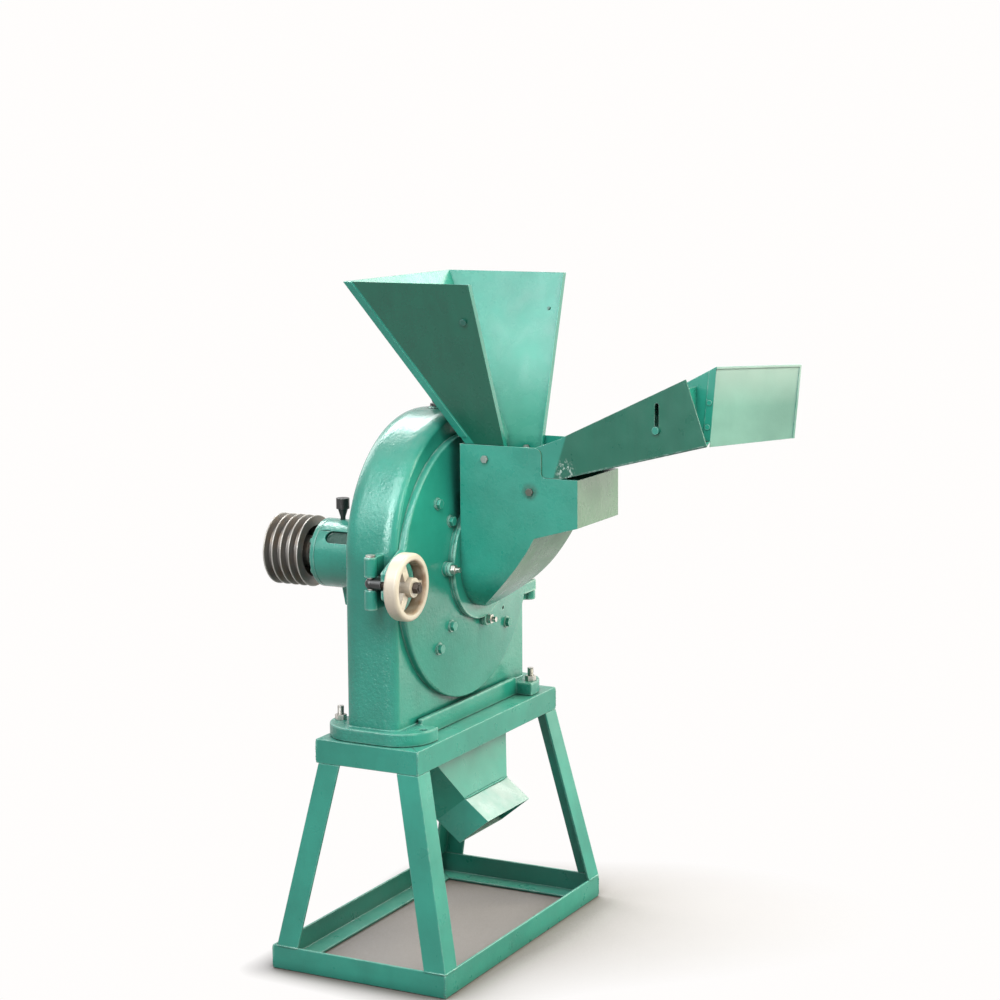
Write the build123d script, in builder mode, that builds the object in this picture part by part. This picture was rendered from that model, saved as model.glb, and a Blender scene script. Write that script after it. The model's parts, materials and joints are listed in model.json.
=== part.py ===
"""Toothed disc flour mill on a welded angle-iron stand, in millimetres.

+Z is up and the floor is z = 0. The door faces -Y and the shaft runs along Y.
The belt pulley is at the back (+Y).
The origin lies on the floor under the middle of the stand.
"""

import os
from math import cos, hypot, radians, sin, sqrt, tan

from build123d import *

os.makedirs("parts", exist_ok=True)

# Stand, laid out round the casing's foot flange
base_spread_x = 42.5
base_spread_y = 76.0
frame_margin_x = 6.5
frame_margin_y = 3.0
stand_height = 438.0
angle_leg = 45.0
angle_wall = 5.0
back_leg_inset_top = 5.0
back_leg_inset_foot = 10.0
floor_hole_dia = 13.0
floor_hole_end = 70.0
floor_hole_inset = 25.0

# Casing
door_floor_gap = 17.0
arch_rise = 37.0
flat_half_width = 246.0
side_bulge = 13.0
rim_corner = 30.0
casing_front = -51.0
casing_depth = 108.0
casing_wall = 10.0
flange_side = 17.0
flange_front = -100.0
flange_back = 110.0
flange_thickness = 25.0
flange_corner = 66.0
notch_end = 86.0
notch_depth = 34.0
lip_depth = 10.0
lip_height = 10.0
discharge_end = 91.0
opening_rim = 10.0
eye_boss_radius = 15.0
eye_boss_height = 3.0
eye_ring = 12.0
eye_bar = 4.5
eye_collar = 5.0
eye_stem_radius = 6.0
eye_stem_depth = 10.0

# Anchor bolts in the foot flange
anchor_inset_x = 58.0
anchor_inset_front = 16.0
anchor_inset_back = 18.0
anchor_dia = 12.0
anchor_play = 1.0
anchor_head = 8.0
anchor_nut = 10.0
anchor_end = 16.0

# Fits
face_gap = 0.3
running_gap = 0.05
hole_play = 0.5

# Bearing housing and shaft line, stations along Y measured from the casing's back face
tube_radius = 67.0
tube_length = 183.0
housing_flange_radius = 112.0
housing_flange_thickness = 14.0
spigot_radius = 62.0
neck_radius = 38.0
bearing_outer = 45.0
bearing_inner = 20.0
bearing_width = 23.0
race_thickness = 8.0
inner_race_thickness = 7.5
shield_thickness = 1.5
seal_thickness = 6.0
cover_thickness = 10.0
cover_spigot = 10.0
housing_bolt_circle = 92.0
housing_bolt_count = 6
housing_bolt_dia = 10.0
cover_bolt_count = 6
cover_bolt_dia = 8.0
shoulder_radius = 24.0
sleeve_wall = 4.0
distance_ring_wall = 2.0
seat_radius = 18.0
thread_radius = 15.0
key_width = 10.0
key_height = 8.0
key_length = 28.0
key_setback = 1.0
rib_thickness = 14.0
rib_depth = 34.0
rib_setback = 24.0
rib_end_slant = 9.0
window_length = 72.0
window_height = 26.0
window_depth = 8.0
window_tilt = 38.0
window_setback = 19.0

# Grease cup
grease_setback = 27.0
grease_stem_radius = 5.0
grease_stem_depth = 10.0
grease_neck = 5.0
grease_cone = 16.0
grease_cap_height = 21.0
grease_cap_radius = 13.0
grease_cap_step = 3.0

# Pulley
pulley_gap = 36.0
groove_count = 4
groove_pitch = 19.0
groove_edge = 11.0
groove_half_top = 8.25
groove_depth = 13.0
groove_angle = 17.0
pulley_radius = 70.0
rim_inner_radius = 50.0
web_start = 42.0
web_thickness = 16.0
pulley_hub_radius = 30.0
hub_setback = 3.0
hub_length = 72.0
shaft_end_setback = 4.0
pulley_washer_radius = 28.0
pulley_washer_thickness = 6.0
pulley_bolt_dia = 12.0
pulley_bolt_length = 30.0
pulley_bolt_head = 8.0

# Rotor
rotor_gap = 10.0
rotor_thickness = 16.0
rotor_back_gap = 17.0
rotor_hub_radius = 40.0
rotor_hub_length = 14.0
rotor_nut_height = 24.0
rotor_nut_flats = 46.0
rotor_thread_end = 4.0
pin_step = 30.0
pin_count = 6
pin_radius = 8.0
tooth_inset = 13.0
tooth_count = 12
tooth_deep = 14.0
tooth_wide = 26.0
stem_radius = 6.0
rotor_tooth_length = 39.0

# Fixed disc and sieve
fixed_gap = 20.0
fixed_hole_margin = 1.0
fixed_thickness = 12.0
fixed_tooth_length = 34.0
fixed_tooth_deep = 14.0
fixed_tooth_wide = 16.0
fixed_stem_radius = 5.0
fixed_inner_step = 35.0
fixed_inner_count = 10
fixed_outer_step = 33.0
fixed_outer_count = 14
sieve_inset = 10.0
sieve_thickness = 3.0
sieve_groove = 4.0
sieve_slot_count = 40
sieve_slot_length = 60.0
sieve_slot_width = 8.0

# Door
door_overhang = 6.0
door_thickness = 14.0
door_edge = 4.0
door_dish = 17.0
boss_radius = 113.0
boss_height = 6.0
boss_wall = 29.0
inlet_rise = 13.0
ring_thickness = 6.0
inlet_lug_radius = 13.0
inlet_lug_step = 8.0
inlet_lug_angles = (180, 280, 20)
inlet_bolt_dia = 10.0
inlet_nut_height = 8.0
inlet_bolt_end = 9.0
door_bolt_dia = 10.0
door_bolt_head = 6.5
door_bolt_inset = 14.0
door_bolt_step = 27.0
outer_bolt_angles = (45, 135, 225, 315)
inner_bolt_angles = (45, 135, 225)
door_pad_radius = 11.0
door_pad_rise = 1.5
spare_hole_step = 14.0
spare_hole_angle = 318
spare_hole_dia = 8.0
spare_hole_depth = 8.0

# Door hinge
hinge_reach = 29.0
hinge_setback = 3.0
hinge_span = 196.0
knuckle_radius = 14.0
knuckle_height = 20.0
hinge_pin_radius = 8.0
hinge_pin_head = 6.0
hinge_pin_head_radius = 11.0
arm_overlap = 37.0
casing_arm_depth = 22.0

# Door clamp
clamp_reach = 40.0
clamp_rise = 10.0
swivel_setback = 30.0
ball_radius = 11.0
swivel_neck_radius = 10.5
swivel_neck_setback = 5.0
swivel_pin_radius = 6.0
swivel_pin_head_radius = 9.0
swivel_pin_head = 4.0
clamp_lug_radius = 12.0
clamp_lug_height = 37.0
clamp_web = 16.0
clamp_screw_radius = 8.0
clamp_screw_play = 0.6
clamp_screw_reach = 15.0
socket_room = 2.0
door_lug_root = 56.0
door_lug_half = 24.0
door_lug_end = 16.0
door_lug_corner = 6.0
washer_radius = 13.0
washer_thickness = 12.0
wheel_radius = 61.5
wheel_rim_depth = 28.0
wheel_rim_width = 15.0
wheel_rim_round = 6.0
wheel_hub_radius = 18.0
wheel_hub_depth = 34.0
spoke_width = 17.0
spoke_depth = 11.0
wheel_seat_radius = 6.0
wheel_nut_flats = 19.0
wheel_nut_height = 10.0
wheel_nut_end = 2.0

# Feed box
box_half = 88.0
box_sheet = 3.0
box_top_rise = 243.0
shelf_rise = 189.0
block_rise = 101.0
throat_rise = 76.0
curve_rise = 3.0
box_low_drop = 95.0
box_length = 240.0
notch_run = 167.0
throat_run = 152.0
curve_run = 102.0
notch_inner_round = 8.0
notch_outer_round = 14.0
box_bolt_dia = 8.0
box_bolt_head = 5.0
box_bolt_length = 16.0
hopper_bolt_run = 52.0
hopper_bolt_drop = 26.0
tray_bolt_drop = 27.0

# Hopper
hopper_sheet = 2.5
hopper_height = 300.0
hopper_rim_half = 199.0
hopper_foot_gap = 10.0
hopper_foot_depth = 80.0
hopper_front_run = 11.0
hopper_back_run = 187.0
hopper_skirt = 40.0
hopper_fold = 10.0
hopper_lap = 16.0
hopper_lap_sheet = 2.0
hopper_lap_height = 14.0
hopper_screw_setback = 23.0
hopper_screw_rise = 232.0
hopper_screw_radius = 3.0
hopper_screw_end = 3.0
hopper_screw_head = 6.0
hopper_screw_head_height = 4.0

# Feed tray
tray_sheet = 2.0
tray_fold_setback = 34.0
tray_flare = 7.0
tray_floor_slope = 15.0
tray_wall_height = 75.0
tray_near_top_run = 257.0
tray_near_top_rise = 195.0
tray_near_low_run = 300.0
tray_far_run = 210.0
tray_tab_low = 41.0
tray_tab_front = 8.0
tray_tab_back = 38.0
cheek_top = 14.0
slot_run = 199.0
slot_low_rise = 102.0
slot_travel = 44.0
slot_width = 8.0
gate_low_gap = 12.0
gate_height = 95.0
gate_tab_back = 16.0
gate_tab_front = 6.5
gate_tab_height = 36.0
gate_bolt_radius = 3.5
gate_bolt_head = 7.0
gate_bolt_head_height = 5.0
wing_turn = 41.0
wing_length = 164.0
wing_low = 47.0
wing_end_rise = 11.0
wing_fold_run = 11.0
wing_flange = 13.0
wing_hem = 4.0
rivet_radius = 2.5
rivet_head = 5.0
rivet_head_height = 2.5
rivet_low_rise = 84.0
rivet_high_rise = 129.0

# Discharge chute
chute_sheet = 2.0
chute_ledge = 30.0
chute_frame_gap = 4.0
chute_flange_thickness = 3.0
throat_front_y = -98.0
throat_front_drop = 138.0
throat_back_y = -37.0
throat_back_drop = 188.0
spout_half = 86.0
spout_run_y = -49.0
spout_run_z = -38.0
chute_bolt_dia = 8.0
chute_bolt_head = 5.5
chute_bolt_length = 15.0
chute_bolt_inset = 12.0
chute_bolt_edge = 27.0

# Levels and stations that follow from the sizes above
door_opening = flat_half_width - opening_rim
door_radius = flat_half_width + door_overhang
axis_z = stand_height + flange_thickness + door_floor_gap + door_radius
flange_length = 2 * (flat_half_width + side_bulge + flange_side)
notch_length = flange_length - 2 * notch_end
discharge_length = flange_length - 2 * discharge_end
anchor_span_x = flange_length - 2 * anchor_inset_x
anchor_front = flange_front + anchor_inset_front
anchor_back = flange_back - anchor_inset_back
frame_length = flange_length + 2 * frame_margin_x
frame_width = flange_back - flange_front + 2 * frame_margin_y
base_length = frame_length + 2 * base_spread_x
base_width = frame_width + 2 * base_spread_y
floor_hole_span = base_length - 2 * floor_hole_end
chute_flange_length = discharge_length + 2 * chute_ledge
chute_flange_width = frame_width - 2 * angle_leg - 2 * chute_frame_gap
chute_bolt_x = chute_flange_length / 2 - chute_bolt_inset
chute_bolt_span = chute_flange_width - 2 * chute_bolt_edge
sieve_radius = door_opening - sieve_inset
cover_bolt_circle = (tube_radius + bearing_outer) / 2
rotor_radius = sieve_radius - rotor_gap
tooth_circle = rotor_radius - tooth_inset
fixed_radius = sieve_radius - fixed_gap
fixed_outer_circle = tooth_circle - fixed_outer_step
fixed_inner_circle = fixed_outer_circle - fixed_inner_step
pin_circle = fixed_inner_circle - pin_step
inlet_radius = boss_radius - boss_wall
inlet_bolt_circle = boss_radius + inlet_lug_step
fixed_hole = inlet_radius + inlet_rise + fixed_hole_margin
door_bolt_outer = fixed_radius - door_bolt_inset
door_bolt_inner = boss_radius + door_bolt_step
spare_hole_circle = door_bolt_inner + spare_hole_step
hinge_x = door_radius + hinge_reach
arm_root = door_radius - arm_overlap
clamp_x = -(door_radius + clamp_reach)
swivel_y = casing_front + swivel_setback
swivel_neck_end = casing_front + swivel_neck_setback
arch_z = axis_z + arch_rise
casing_back = casing_front + casing_depth
casing_middle = casing_front + casing_depth / 2
chamber_front = casing_front + casing_wall
chamber_back = casing_back - casing_wall
rim_hollow = side_bulge - casing_wall
flange_top = stand_height + flange_thickness
arch_top = arch_z + flat_half_width + side_bulge
eye_seat = arch_top + eye_boss_height
inlet_z = axis_z + inlet_rise
clamp_z = axis_z + clamp_rise
hinge_y = casing_front + hinge_setback
door_front = casing_front - door_thickness
dish_front = door_front - door_dish
boss_front = dish_front - boss_height
ring_front = boss_front - ring_thickness
box_front = ring_front - box_length
box_notch = ring_front - notch_run
box_throat = ring_front - throat_run
box_curve = ring_front - curve_run
hopper_bolt_y = ring_front - hopper_bolt_run
hopper_foot_back = ring_front - hopper_foot_gap
hopper_foot_front = hopper_foot_back - hopper_foot_depth
hopper_rim_front = hopper_foot_front + hopper_front_run
hopper_rim_back = hopper_foot_back + hopper_back_run
hopper_screw_y = hopper_rim_front + hopper_screw_setback
tray_bolt_y = box_notch + (tray_tab_front + tray_tab_back) / 2
tray_fold = box_front + tray_fold_setback
box_top = axis_z + box_top_rise
shelf_z = axis_z + shelf_rise
tube_end = casing_back + tube_length
cover_end = tube_end + cover_thickness
front_bearing = chamber_back + seal_thickness
front_bearing_end = front_bearing + bearing_width
rear_bearing_end = tube_end - cover_spigot
rear_bearing = rear_bearing_end - bearing_width
rotor_front = chamber_back - rotor_back_gap - rotor_thickness
rotor_back = rotor_front + rotor_thickness
rotor_hub_end = rotor_back + rotor_hub_length
pulley_front = tube_end + pulley_gap
pulley_back = pulley_front + 2 * groove_edge + (groove_count - 1) * groove_pitch
hub_front = pulley_front + hub_setback
hub_back = hub_front + hub_length
shaft_end = hub_back - shaft_end_setback
fixed_back = casing_front + fixed_thickness
sieve_end = chamber_back + sieve_groove
shaft_axis = Axis((0, 0, axis_z), (0, 1, 0))
turning_plane = Plane(origin=(0, 0, axis_z), x_dir=(0, 1, 0), z_dir=(1, 0, 0))


def facing_front(y):
    """A plane at y that looks to the front, with X and Z as its own directions."""
    return Plane(origin=(0, y, 0), x_dir=(1, 0, 0), z_dir=(0, -1, 0))


def around_axis(radius, angle, centre_z):
    """A point in X and Z at an angle round a centre on the middle plane."""
    return (radius * cos(radians(angle)), centre_z + radius * sin(radians(angle)))


def mitred(length, depth):
    """The outline of one mitred bar: full length outside, shorter by the depth at each end inside."""
    half = length / 2
    return [(-half, 0), (half, 0), (half - depth, depth), (-half + depth, depth)]


# Base frame: four mitred angles, upright leg outside and flat leg on the floor
floor_hole_y = base_width / 2 - floor_hole_inset

with BuildPart() as base_rail_front:
    with BuildSketch(Plane(origin=(0, -base_width / 2, 0), x_dir=(1, 0, 0), z_dir=(0, 0, 1))):
        Polygon(*mitred(base_length, angle_wall), align=None)
    extrude(amount=angle_leg)
    with BuildSketch(Plane(origin=(0, -base_width / 2, 0), x_dir=(1, 0, 0), z_dir=(0, 0, 1))):
        Polygon(*mitred(base_length, angle_leg), align=None)
    extrude(amount=angle_wall)
    with BuildSketch(Plane.XY):
        with Locations((-floor_hole_span / 2, -floor_hole_y), (floor_hole_span / 2, -floor_hole_y)):
            Circle(floor_hole_dia / 2)
    extrude(amount=angle_wall, mode=Mode.SUBTRACT)
base_rail_front.part.label = "base_rail_front"
export_step(base_rail_front.part, "parts/base_rail_front.step")

with BuildPart() as base_rail_back:
    with BuildSketch(Plane(origin=(0, base_width / 2, 0), x_dir=(-1, 0, 0), z_dir=(0, 0, 1))):
        Polygon(*mitred(base_length, angle_wall), align=None)
    extrude(amount=angle_leg)
    with BuildSketch(Plane(origin=(0, base_width / 2, 0), x_dir=(-1, 0, 0), z_dir=(0, 0, 1))):
        Polygon(*mitred(base_length, angle_leg), align=None)
    extrude(amount=angle_wall)
    with BuildSketch(Plane.XY):
        with Locations((-floor_hole_span / 2, floor_hole_y), (floor_hole_span / 2, floor_hole_y)):
            Circle(floor_hole_dia / 2)
    extrude(amount=angle_wall, mode=Mode.SUBTRACT)
base_rail_back.part.label = "base_rail_back"
export_step(base_rail_back.part, "parts/base_rail_back.step")

with BuildPart() as base_rail_left:
    with BuildSketch(Plane(origin=(-base_length / 2, 0, 0), x_dir=(0, -1, 0), z_dir=(0, 0, 1))):
        Polygon(*mitred(base_width, angle_wall), align=None)
    extrude(amount=angle_leg)
    with BuildSketch(Plane(origin=(-base_length / 2, 0, 0), x_dir=(0, -1, 0), z_dir=(0, 0, 1))):
        Polygon(*mitred(base_width, angle_leg), align=None)
    extrude(amount=angle_wall)
base_rail_left.part.label = "base_rail_left"
export_step(base_rail_left.part, "parts/base_rail_left.step")

with BuildPart() as base_rail_right:
    with BuildSketch(Plane(origin=(base_length / 2, 0, 0), x_dir=(0, 1, 0), z_dir=(0, 0, 1))):
        Polygon(*mitred(base_width, angle_wall), align=None)
    extrude(amount=angle_leg)
    with BuildSketch(Plane(origin=(base_length / 2, 0, 0), x_dir=(0, 1, 0), z_dir=(0, 0, 1))):
        Polygon(*mitred(base_width, angle_leg), align=None)
    extrude(amount=angle_wall)
base_rail_right.part.label = "base_rail_right"
export_step(base_rail_right.part, "parts/base_rail_right.step")

# Top frame: the same angle turned over, flat leg on top to carry the casing
frame_low = stand_height - angle_leg
frame_plate = stand_height - angle_wall

with BuildPart() as top_rail_front:
    with BuildSketch(Plane(origin=(0, -frame_width / 2, frame_low), x_dir=(1, 0, 0), z_dir=(0, 0, 1))):
        Polygon(*mitred(frame_length, angle_wall), align=None)
    extrude(amount=angle_leg)
    with BuildSketch(Plane(origin=(0, -frame_width / 2, frame_plate), x_dir=(1, 0, 0), z_dir=(0, 0, 1))):
        Polygon(*mitred(frame_length, angle_leg), align=None)
    extrude(amount=angle_wall)
    with BuildSketch(Plane.XY.offset(frame_plate)):
        with Locations((-anchor_span_x / 2, anchor_front), (anchor_span_x / 2, anchor_front)):
            Circle(anchor_dia / 2 + anchor_play)
    extrude(amount=angle_wall, mode=Mode.SUBTRACT)
top_rail_front.part.label = "top_rail_front"
export_step(top_rail_front.part, "parts/top_rail_front.step")

with BuildPart() as top_rail_back:
    with BuildSketch(Plane(origin=(0, frame_width / 2, frame_low), x_dir=(-1, 0, 0), z_dir=(0, 0, 1))):
        Polygon(*mitred(frame_length, angle_wall), align=None)
    extrude(amount=angle_leg)
    with BuildSketch(Plane(origin=(0, frame_width / 2, frame_plate), x_dir=(-1, 0, 0), z_dir=(0, 0, 1))):
        Polygon(*mitred(frame_length, angle_leg), align=None)
    extrude(amount=angle_wall)
    with BuildSketch(Plane.XY.offset(frame_plate)):
        with Locations((-anchor_span_x / 2, anchor_back), (anchor_span_x / 2, anchor_back)):
            Circle(anchor_dia / 2 + anchor_play)
    extrude(amount=angle_wall, mode=Mode.SUBTRACT)
top_rail_back.part.label = "top_rail_back"
export_step(top_rail_back.part, "parts/top_rail_back.step")

with BuildPart() as top_rail_left:
    with BuildSketch(Plane(origin=(-frame_length / 2, 0, frame_low), x_dir=(0, -1, 0), z_dir=(0, 0, 1))):
        Polygon(*mitred(frame_width, angle_wall), align=None)
    extrude(amount=angle_leg)
    with BuildSketch(Plane(origin=(-frame_length / 2, 0, frame_plate), x_dir=(0, -1, 0), z_dir=(0, 0, 1))):
        Polygon(*mitred(frame_width, angle_leg), align=None)
    extrude(amount=angle_wall)
top_rail_left.part.label = "top_rail_left"
export_step(top_rail_left.part, "parts/top_rail_left.step")

with BuildPart() as top_rail_right:
    with BuildSketch(Plane(origin=(frame_length / 2, 0, frame_low), x_dir=(0, 1, 0), z_dir=(0, 0, 1))):
        Polygon(*mitred(frame_width, angle_wall), align=None)
    extrude(amount=angle_leg)
    with BuildSketch(Plane(origin=(frame_length / 2, 0, frame_plate), x_dir=(0, 1, 0), z_dir=(0, 0, 1))):
        Polygon(*mitred(frame_width, angle_leg), align=None)
    extrude(amount=angle_wall)
top_rail_right.part.label = "top_rail_right"
export_step(top_rail_right.part, "parts/top_rail_right.step")

# Legs: splayed angles from the corners of the top frame to the corners of the base
leg_drop = stand_height - 2 * angle_leg
leg_out_x = (base_length - frame_length) / 2
front_out_y = (base_width - frame_width) / 2
back_out_y = front_out_y + back_leg_inset_top - back_leg_inset_foot
front_leg = sqrt(leg_drop**2 + leg_out_x**2 + front_out_y**2)
back_leg = sqrt(leg_drop**2 + leg_out_x**2 + back_out_y**2)


def leg_outline(side_x, side_y, inset):
    """The level section of one leg, its heel at a corner of the top frame or a little in from it."""
    x = side_x * frame_length / 2
    y = side_y * (frame_width / 2 - inset)
    return [
        (x, y),
        (x - side_x * angle_leg, y),
        (x - side_x * angle_leg, y - side_y * angle_wall),
        (x - side_x * angle_wall, y - side_y * angle_wall),
        (x - side_x * angle_wall, y - side_y * angle_leg),
        (x, y - side_y * angle_leg),
    ]


with BuildPart() as leg_front_left:
    with BuildSketch(Plane.XY.offset(frame_low)):
        Polygon(*leg_outline(-1, -1, 0), align=None)
    extrude(amount=front_leg, dir=(-leg_out_x, -front_out_y, -leg_drop))
leg_front_left.part.label = "leg_front_left"
export_step(leg_front_left.part, "parts/leg_front_left.step")

with BuildPart() as leg_front_right:
    with BuildSketch(Plane.XY.offset(frame_low)):
        Polygon(*leg_outline(1, -1, 0), align=None)
    extrude(amount=front_leg, dir=(leg_out_x, -front_out_y, -leg_drop))
leg_front_right.part.label = "leg_front_right"
export_step(leg_front_right.part, "parts/leg_front_right.step")

with BuildPart() as leg_back_left:
    with BuildSketch(Plane.XY.offset(frame_low)):
        Polygon(*leg_outline(-1, 1, back_leg_inset_top), align=None)
    extrude(amount=back_leg, dir=(-leg_out_x, back_out_y, -leg_drop))
leg_back_left.part.label = "leg_back_left"
export_step(leg_back_left.part, "parts/leg_back_left.step")

with BuildPart() as leg_back_right:
    with BuildSketch(Plane.XY.offset(frame_low)):
        Polygon(*leg_outline(1, 1, back_leg_inset_top), align=None)
    extrude(amount=back_leg, dir=(leg_out_x, back_out_y, -leg_drop))
leg_back_right.part.label = "leg_back_right"
export_step(leg_back_right.part, "parts/leg_back_right.step")

# Casing: arched shell with rounded sides, foot flange, hinge knuckles, clamp lugs and an eye boss
hinge_levels = (axis_z - hinge_span / 2, axis_z + hinge_span / 2)
casing_knuckle_low = [level - knuckle_height - face_gap / 2 for level in hinge_levels]
lug_gap_half = ball_radius + face_gap
anchor_holes = [
    (-anchor_span_x / 2, anchor_front),
    (anchor_span_x / 2, anchor_front),
    (-anchor_span_x / 2, anchor_back),
    (anchor_span_x / 2, anchor_back),
]
housing_bolts_at = [
    around_axis(housing_bolt_circle, 360 / housing_bolt_count * i, axis_z)
    for i in range(housing_bolt_count)
]
chute_bolts_at = [
    (-chute_bolt_x, -chute_bolt_span / 2),
    (chute_bolt_x, -chute_bolt_span / 2),
    (-chute_bolt_x, chute_bolt_span / 2),
    (chute_bolt_x, chute_bolt_span / 2),
]

with BuildPart() as casing:
    # Body with flat front and back
    with BuildSketch(facing_front(casing_front)):
        with Locations((0, arch_z)):
            Circle(flat_half_width)
        with Locations((0, (stand_height + arch_z) / 2)):
            Rectangle(2 * flat_half_width, arch_z - stand_height)
    extrude(amount=-casing_depth)
    # Rounded rim over the arch and down both sides
    with BuildSketch(Plane.XY.offset(arch_z)):
        for y in (casing_front + rim_corner, casing_back - rim_corner):
            with Locations((flat_half_width, y)):
                Ellipse(side_bulge, rim_corner)
        with Locations((flat_half_width, casing_middle)):
            Rectangle(2 * side_bulge, casing_depth - 2 * rim_corner)
    revolve(axis=Axis((0, 0, arch_z), (0, -1, 0)), revolution_arc=180)
    with BuildSketch(Plane.XY.offset(stand_height)):
        for x in (-flat_half_width, flat_half_width):
            with Locations((x, casing_front + rim_corner), (x, casing_back - rim_corner)):
                Ellipse(side_bulge, rim_corner)
            with Locations((x, casing_middle)):
                Rectangle(2 * side_bulge, casing_depth - 2 * rim_corner)
    extrude(amount=arch_z - stand_height)
    # Foot flange with a recess in its front and back edges
    with BuildSketch(Plane.XY.offset(stand_height)):
        with Locations((0, (flange_front + flange_back) / 2)):
            RectangleRounded(flange_length, flange_back - flange_front, flange_corner)
        with Locations((0, flange_front), (0, flange_back)):
            Rectangle(notch_length, 2 * notch_depth, mode=Mode.SUBTRACT)
    extrude(amount=flange_thickness)
    with BuildSketch(Plane.XY.offset(flange_top)):
        with Locations((0, flange_front + notch_depth + lip_depth / 2)):
            Rectangle(notch_length, lip_depth)
    extrude(amount=lip_height)
    # Knuckles for the door hinge and their arms
    for low in casing_knuckle_low:
        with BuildSketch(Plane.XY.offset(low)):
            with Locations((hinge_x, hinge_y)):
                Circle(knuckle_radius)
            with Locations(((flat_half_width + hinge_x) / 2, hinge_y + casing_arm_depth / 2)):
                Rectangle(hinge_x - flat_half_width, casing_arm_depth)
        extrude(amount=knuckle_height)
    # Lugs for the swivel nut
    for low in (clamp_z + lug_gap_half, clamp_z - lug_gap_half - clamp_lug_height):
        with BuildSketch(Plane.XY.offset(low)):
            with Locations((clamp_x, swivel_y)):
                Circle(clamp_lug_radius)
            with Locations(((clamp_x - flat_half_width) / 2, swivel_y)):
                Rectangle(-flat_half_width - clamp_x, clamp_web)
        extrude(amount=clamp_lug_height)
    # Boss for the lifting eye
    with BuildSketch(Plane.XY.offset(arch_z + flat_half_width)):
        with Locations((0, casing_middle)):
            Circle(eye_boss_radius)
    extrude(amount=side_bulge + eye_boss_height)
    # Chamber inside, open to the door and to the discharge
    with BuildSketch(facing_front(chamber_front)):
        with Locations((0, arch_z)):
            Circle(flat_half_width)
        with Locations((0, (flange_top + arch_z) / 2)):
            Rectangle(2 * flat_half_width, arch_z - flange_top)
    extrude(amount=-(casing_depth - 2 * casing_wall), mode=Mode.SUBTRACT)
    with BuildSketch(Plane.XY.offset(arch_z)):
        with Locations((flat_half_width, casing_middle)):
            RectangleRounded(2 * rim_hollow, casing_depth - 4 * casing_wall, 0.8 * rim_hollow)
    revolve(axis=Axis((0, 0, arch_z), (0, -1, 0)), revolution_arc=180, mode=Mode.SUBTRACT)
    with BuildSketch(Plane.XY.offset(flange_top)):
        with Locations((flat_half_width, casing_middle), (-flat_half_width, casing_middle)):
            RectangleRounded(2 * rim_hollow, casing_depth - 4 * casing_wall, 0.8 * rim_hollow)
    extrude(amount=arch_z - flange_top, mode=Mode.SUBTRACT)
    with BuildSketch(facing_front(casing_front)):
        with Locations((0, axis_z)):
            Circle(door_opening)
    extrude(amount=-casing_wall, mode=Mode.SUBTRACT)
    with BuildSketch(Plane.XY.offset(stand_height)):
        with Locations((0, casing_middle)):
            Rectangle(discharge_length, casing_depth - 2 * casing_wall)
    extrude(amount=flange_thickness, mode=Mode.SUBTRACT)
    # Seat of the bearing housing and its bolt holes, groove for the sieve
    with BuildSketch(facing_front(casing_back)):
        with Locations((0, axis_z)):
            Circle(spigot_radius)
        with Locations(*housing_bolts_at):
            Circle(housing_bolt_dia / 2)
    extrude(amount=casing_wall, mode=Mode.SUBTRACT)
    with BuildSketch(facing_front(sieve_end)):
        with Locations((0, axis_z)):
            Circle(sieve_radius + sieve_thickness + face_gap)
            Circle(sieve_radius - face_gap, mode=Mode.SUBTRACT)
    extrude(amount=sieve_groove, mode=Mode.SUBTRACT)
    # Anchor, chute, hinge, swivel and eye holes
    with BuildSketch(Plane.XY.offset(stand_height)):
        with Locations(*anchor_holes):
            Circle(anchor_dia / 2 + anchor_play)
    extrude(amount=flange_thickness, mode=Mode.SUBTRACT)
    with BuildSketch(Plane.XY.offset(stand_height)):
        with Locations(*chute_bolts_at):
            Circle(chute_bolt_dia / 2)
    extrude(amount=chute_bolt_length, mode=Mode.SUBTRACT)
    for low in casing_knuckle_low:
        with BuildSketch(Plane.XY.offset(low)):
            with Locations((hinge_x, hinge_y)):
                Circle(hinge_pin_radius)
        extrude(amount=knuckle_height, mode=Mode.SUBTRACT)
    with BuildSketch(Plane.XY.offset(clamp_z - lug_gap_half - clamp_lug_height)):
        with Locations((clamp_x, swivel_y)):
            Circle(swivel_pin_radius)
    extrude(amount=2 * (lug_gap_half + clamp_lug_height), mode=Mode.SUBTRACT)
    with BuildSketch(Plane.XY.offset(eye_seat)):
        with Locations((0, casing_middle)):
            Circle(eye_stem_radius)
    extrude(amount=-eye_stem_depth, mode=Mode.SUBTRACT)
casing.part.label = "casing"
export_step(casing.part, "parts/casing.step")

# Anchor bolts: head under the top rail, nut on the flange, and the front left hole left empty
anchored = anchor_holes[1:]

with BuildPart() as anchor_bolts:
    with BuildSketch(Plane.XY.offset(frame_plate)):
        with Locations(*anchored):
            RegularPolygon(0.75 * anchor_dia, 6, major_radius=False)
    extrude(amount=-anchor_head)
    with BuildSketch(Plane.XY.offset(frame_plate)):
        with Locations(*anchored):
            Circle(anchor_dia / 2)
    extrude(amount=angle_wall + flange_thickness + anchor_nut + anchor_end)
anchor_bolts.part.label = "anchor_bolts"
export_step(anchor_bolts.part, "parts/anchor_bolts.step")

with BuildPart() as anchor_nuts:
    with BuildSketch(Plane.XY.offset(flange_top)):
        with Locations(*anchored):
            RegularPolygon(0.8 * anchor_dia, 6, major_radius=False)
            Circle(anchor_dia / 2, mode=Mode.SUBTRACT)
    extrude(amount=anchor_nut)
anchor_nuts.part.label = "anchor_nuts"
export_step(anchor_nuts.part, "parts/anchor_nuts.step")

# Lifting eye on the boss at the top of the casing
eye_centre = eye_seat + eye_collar + eye_ring + 0.6 * eye_bar

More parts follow.
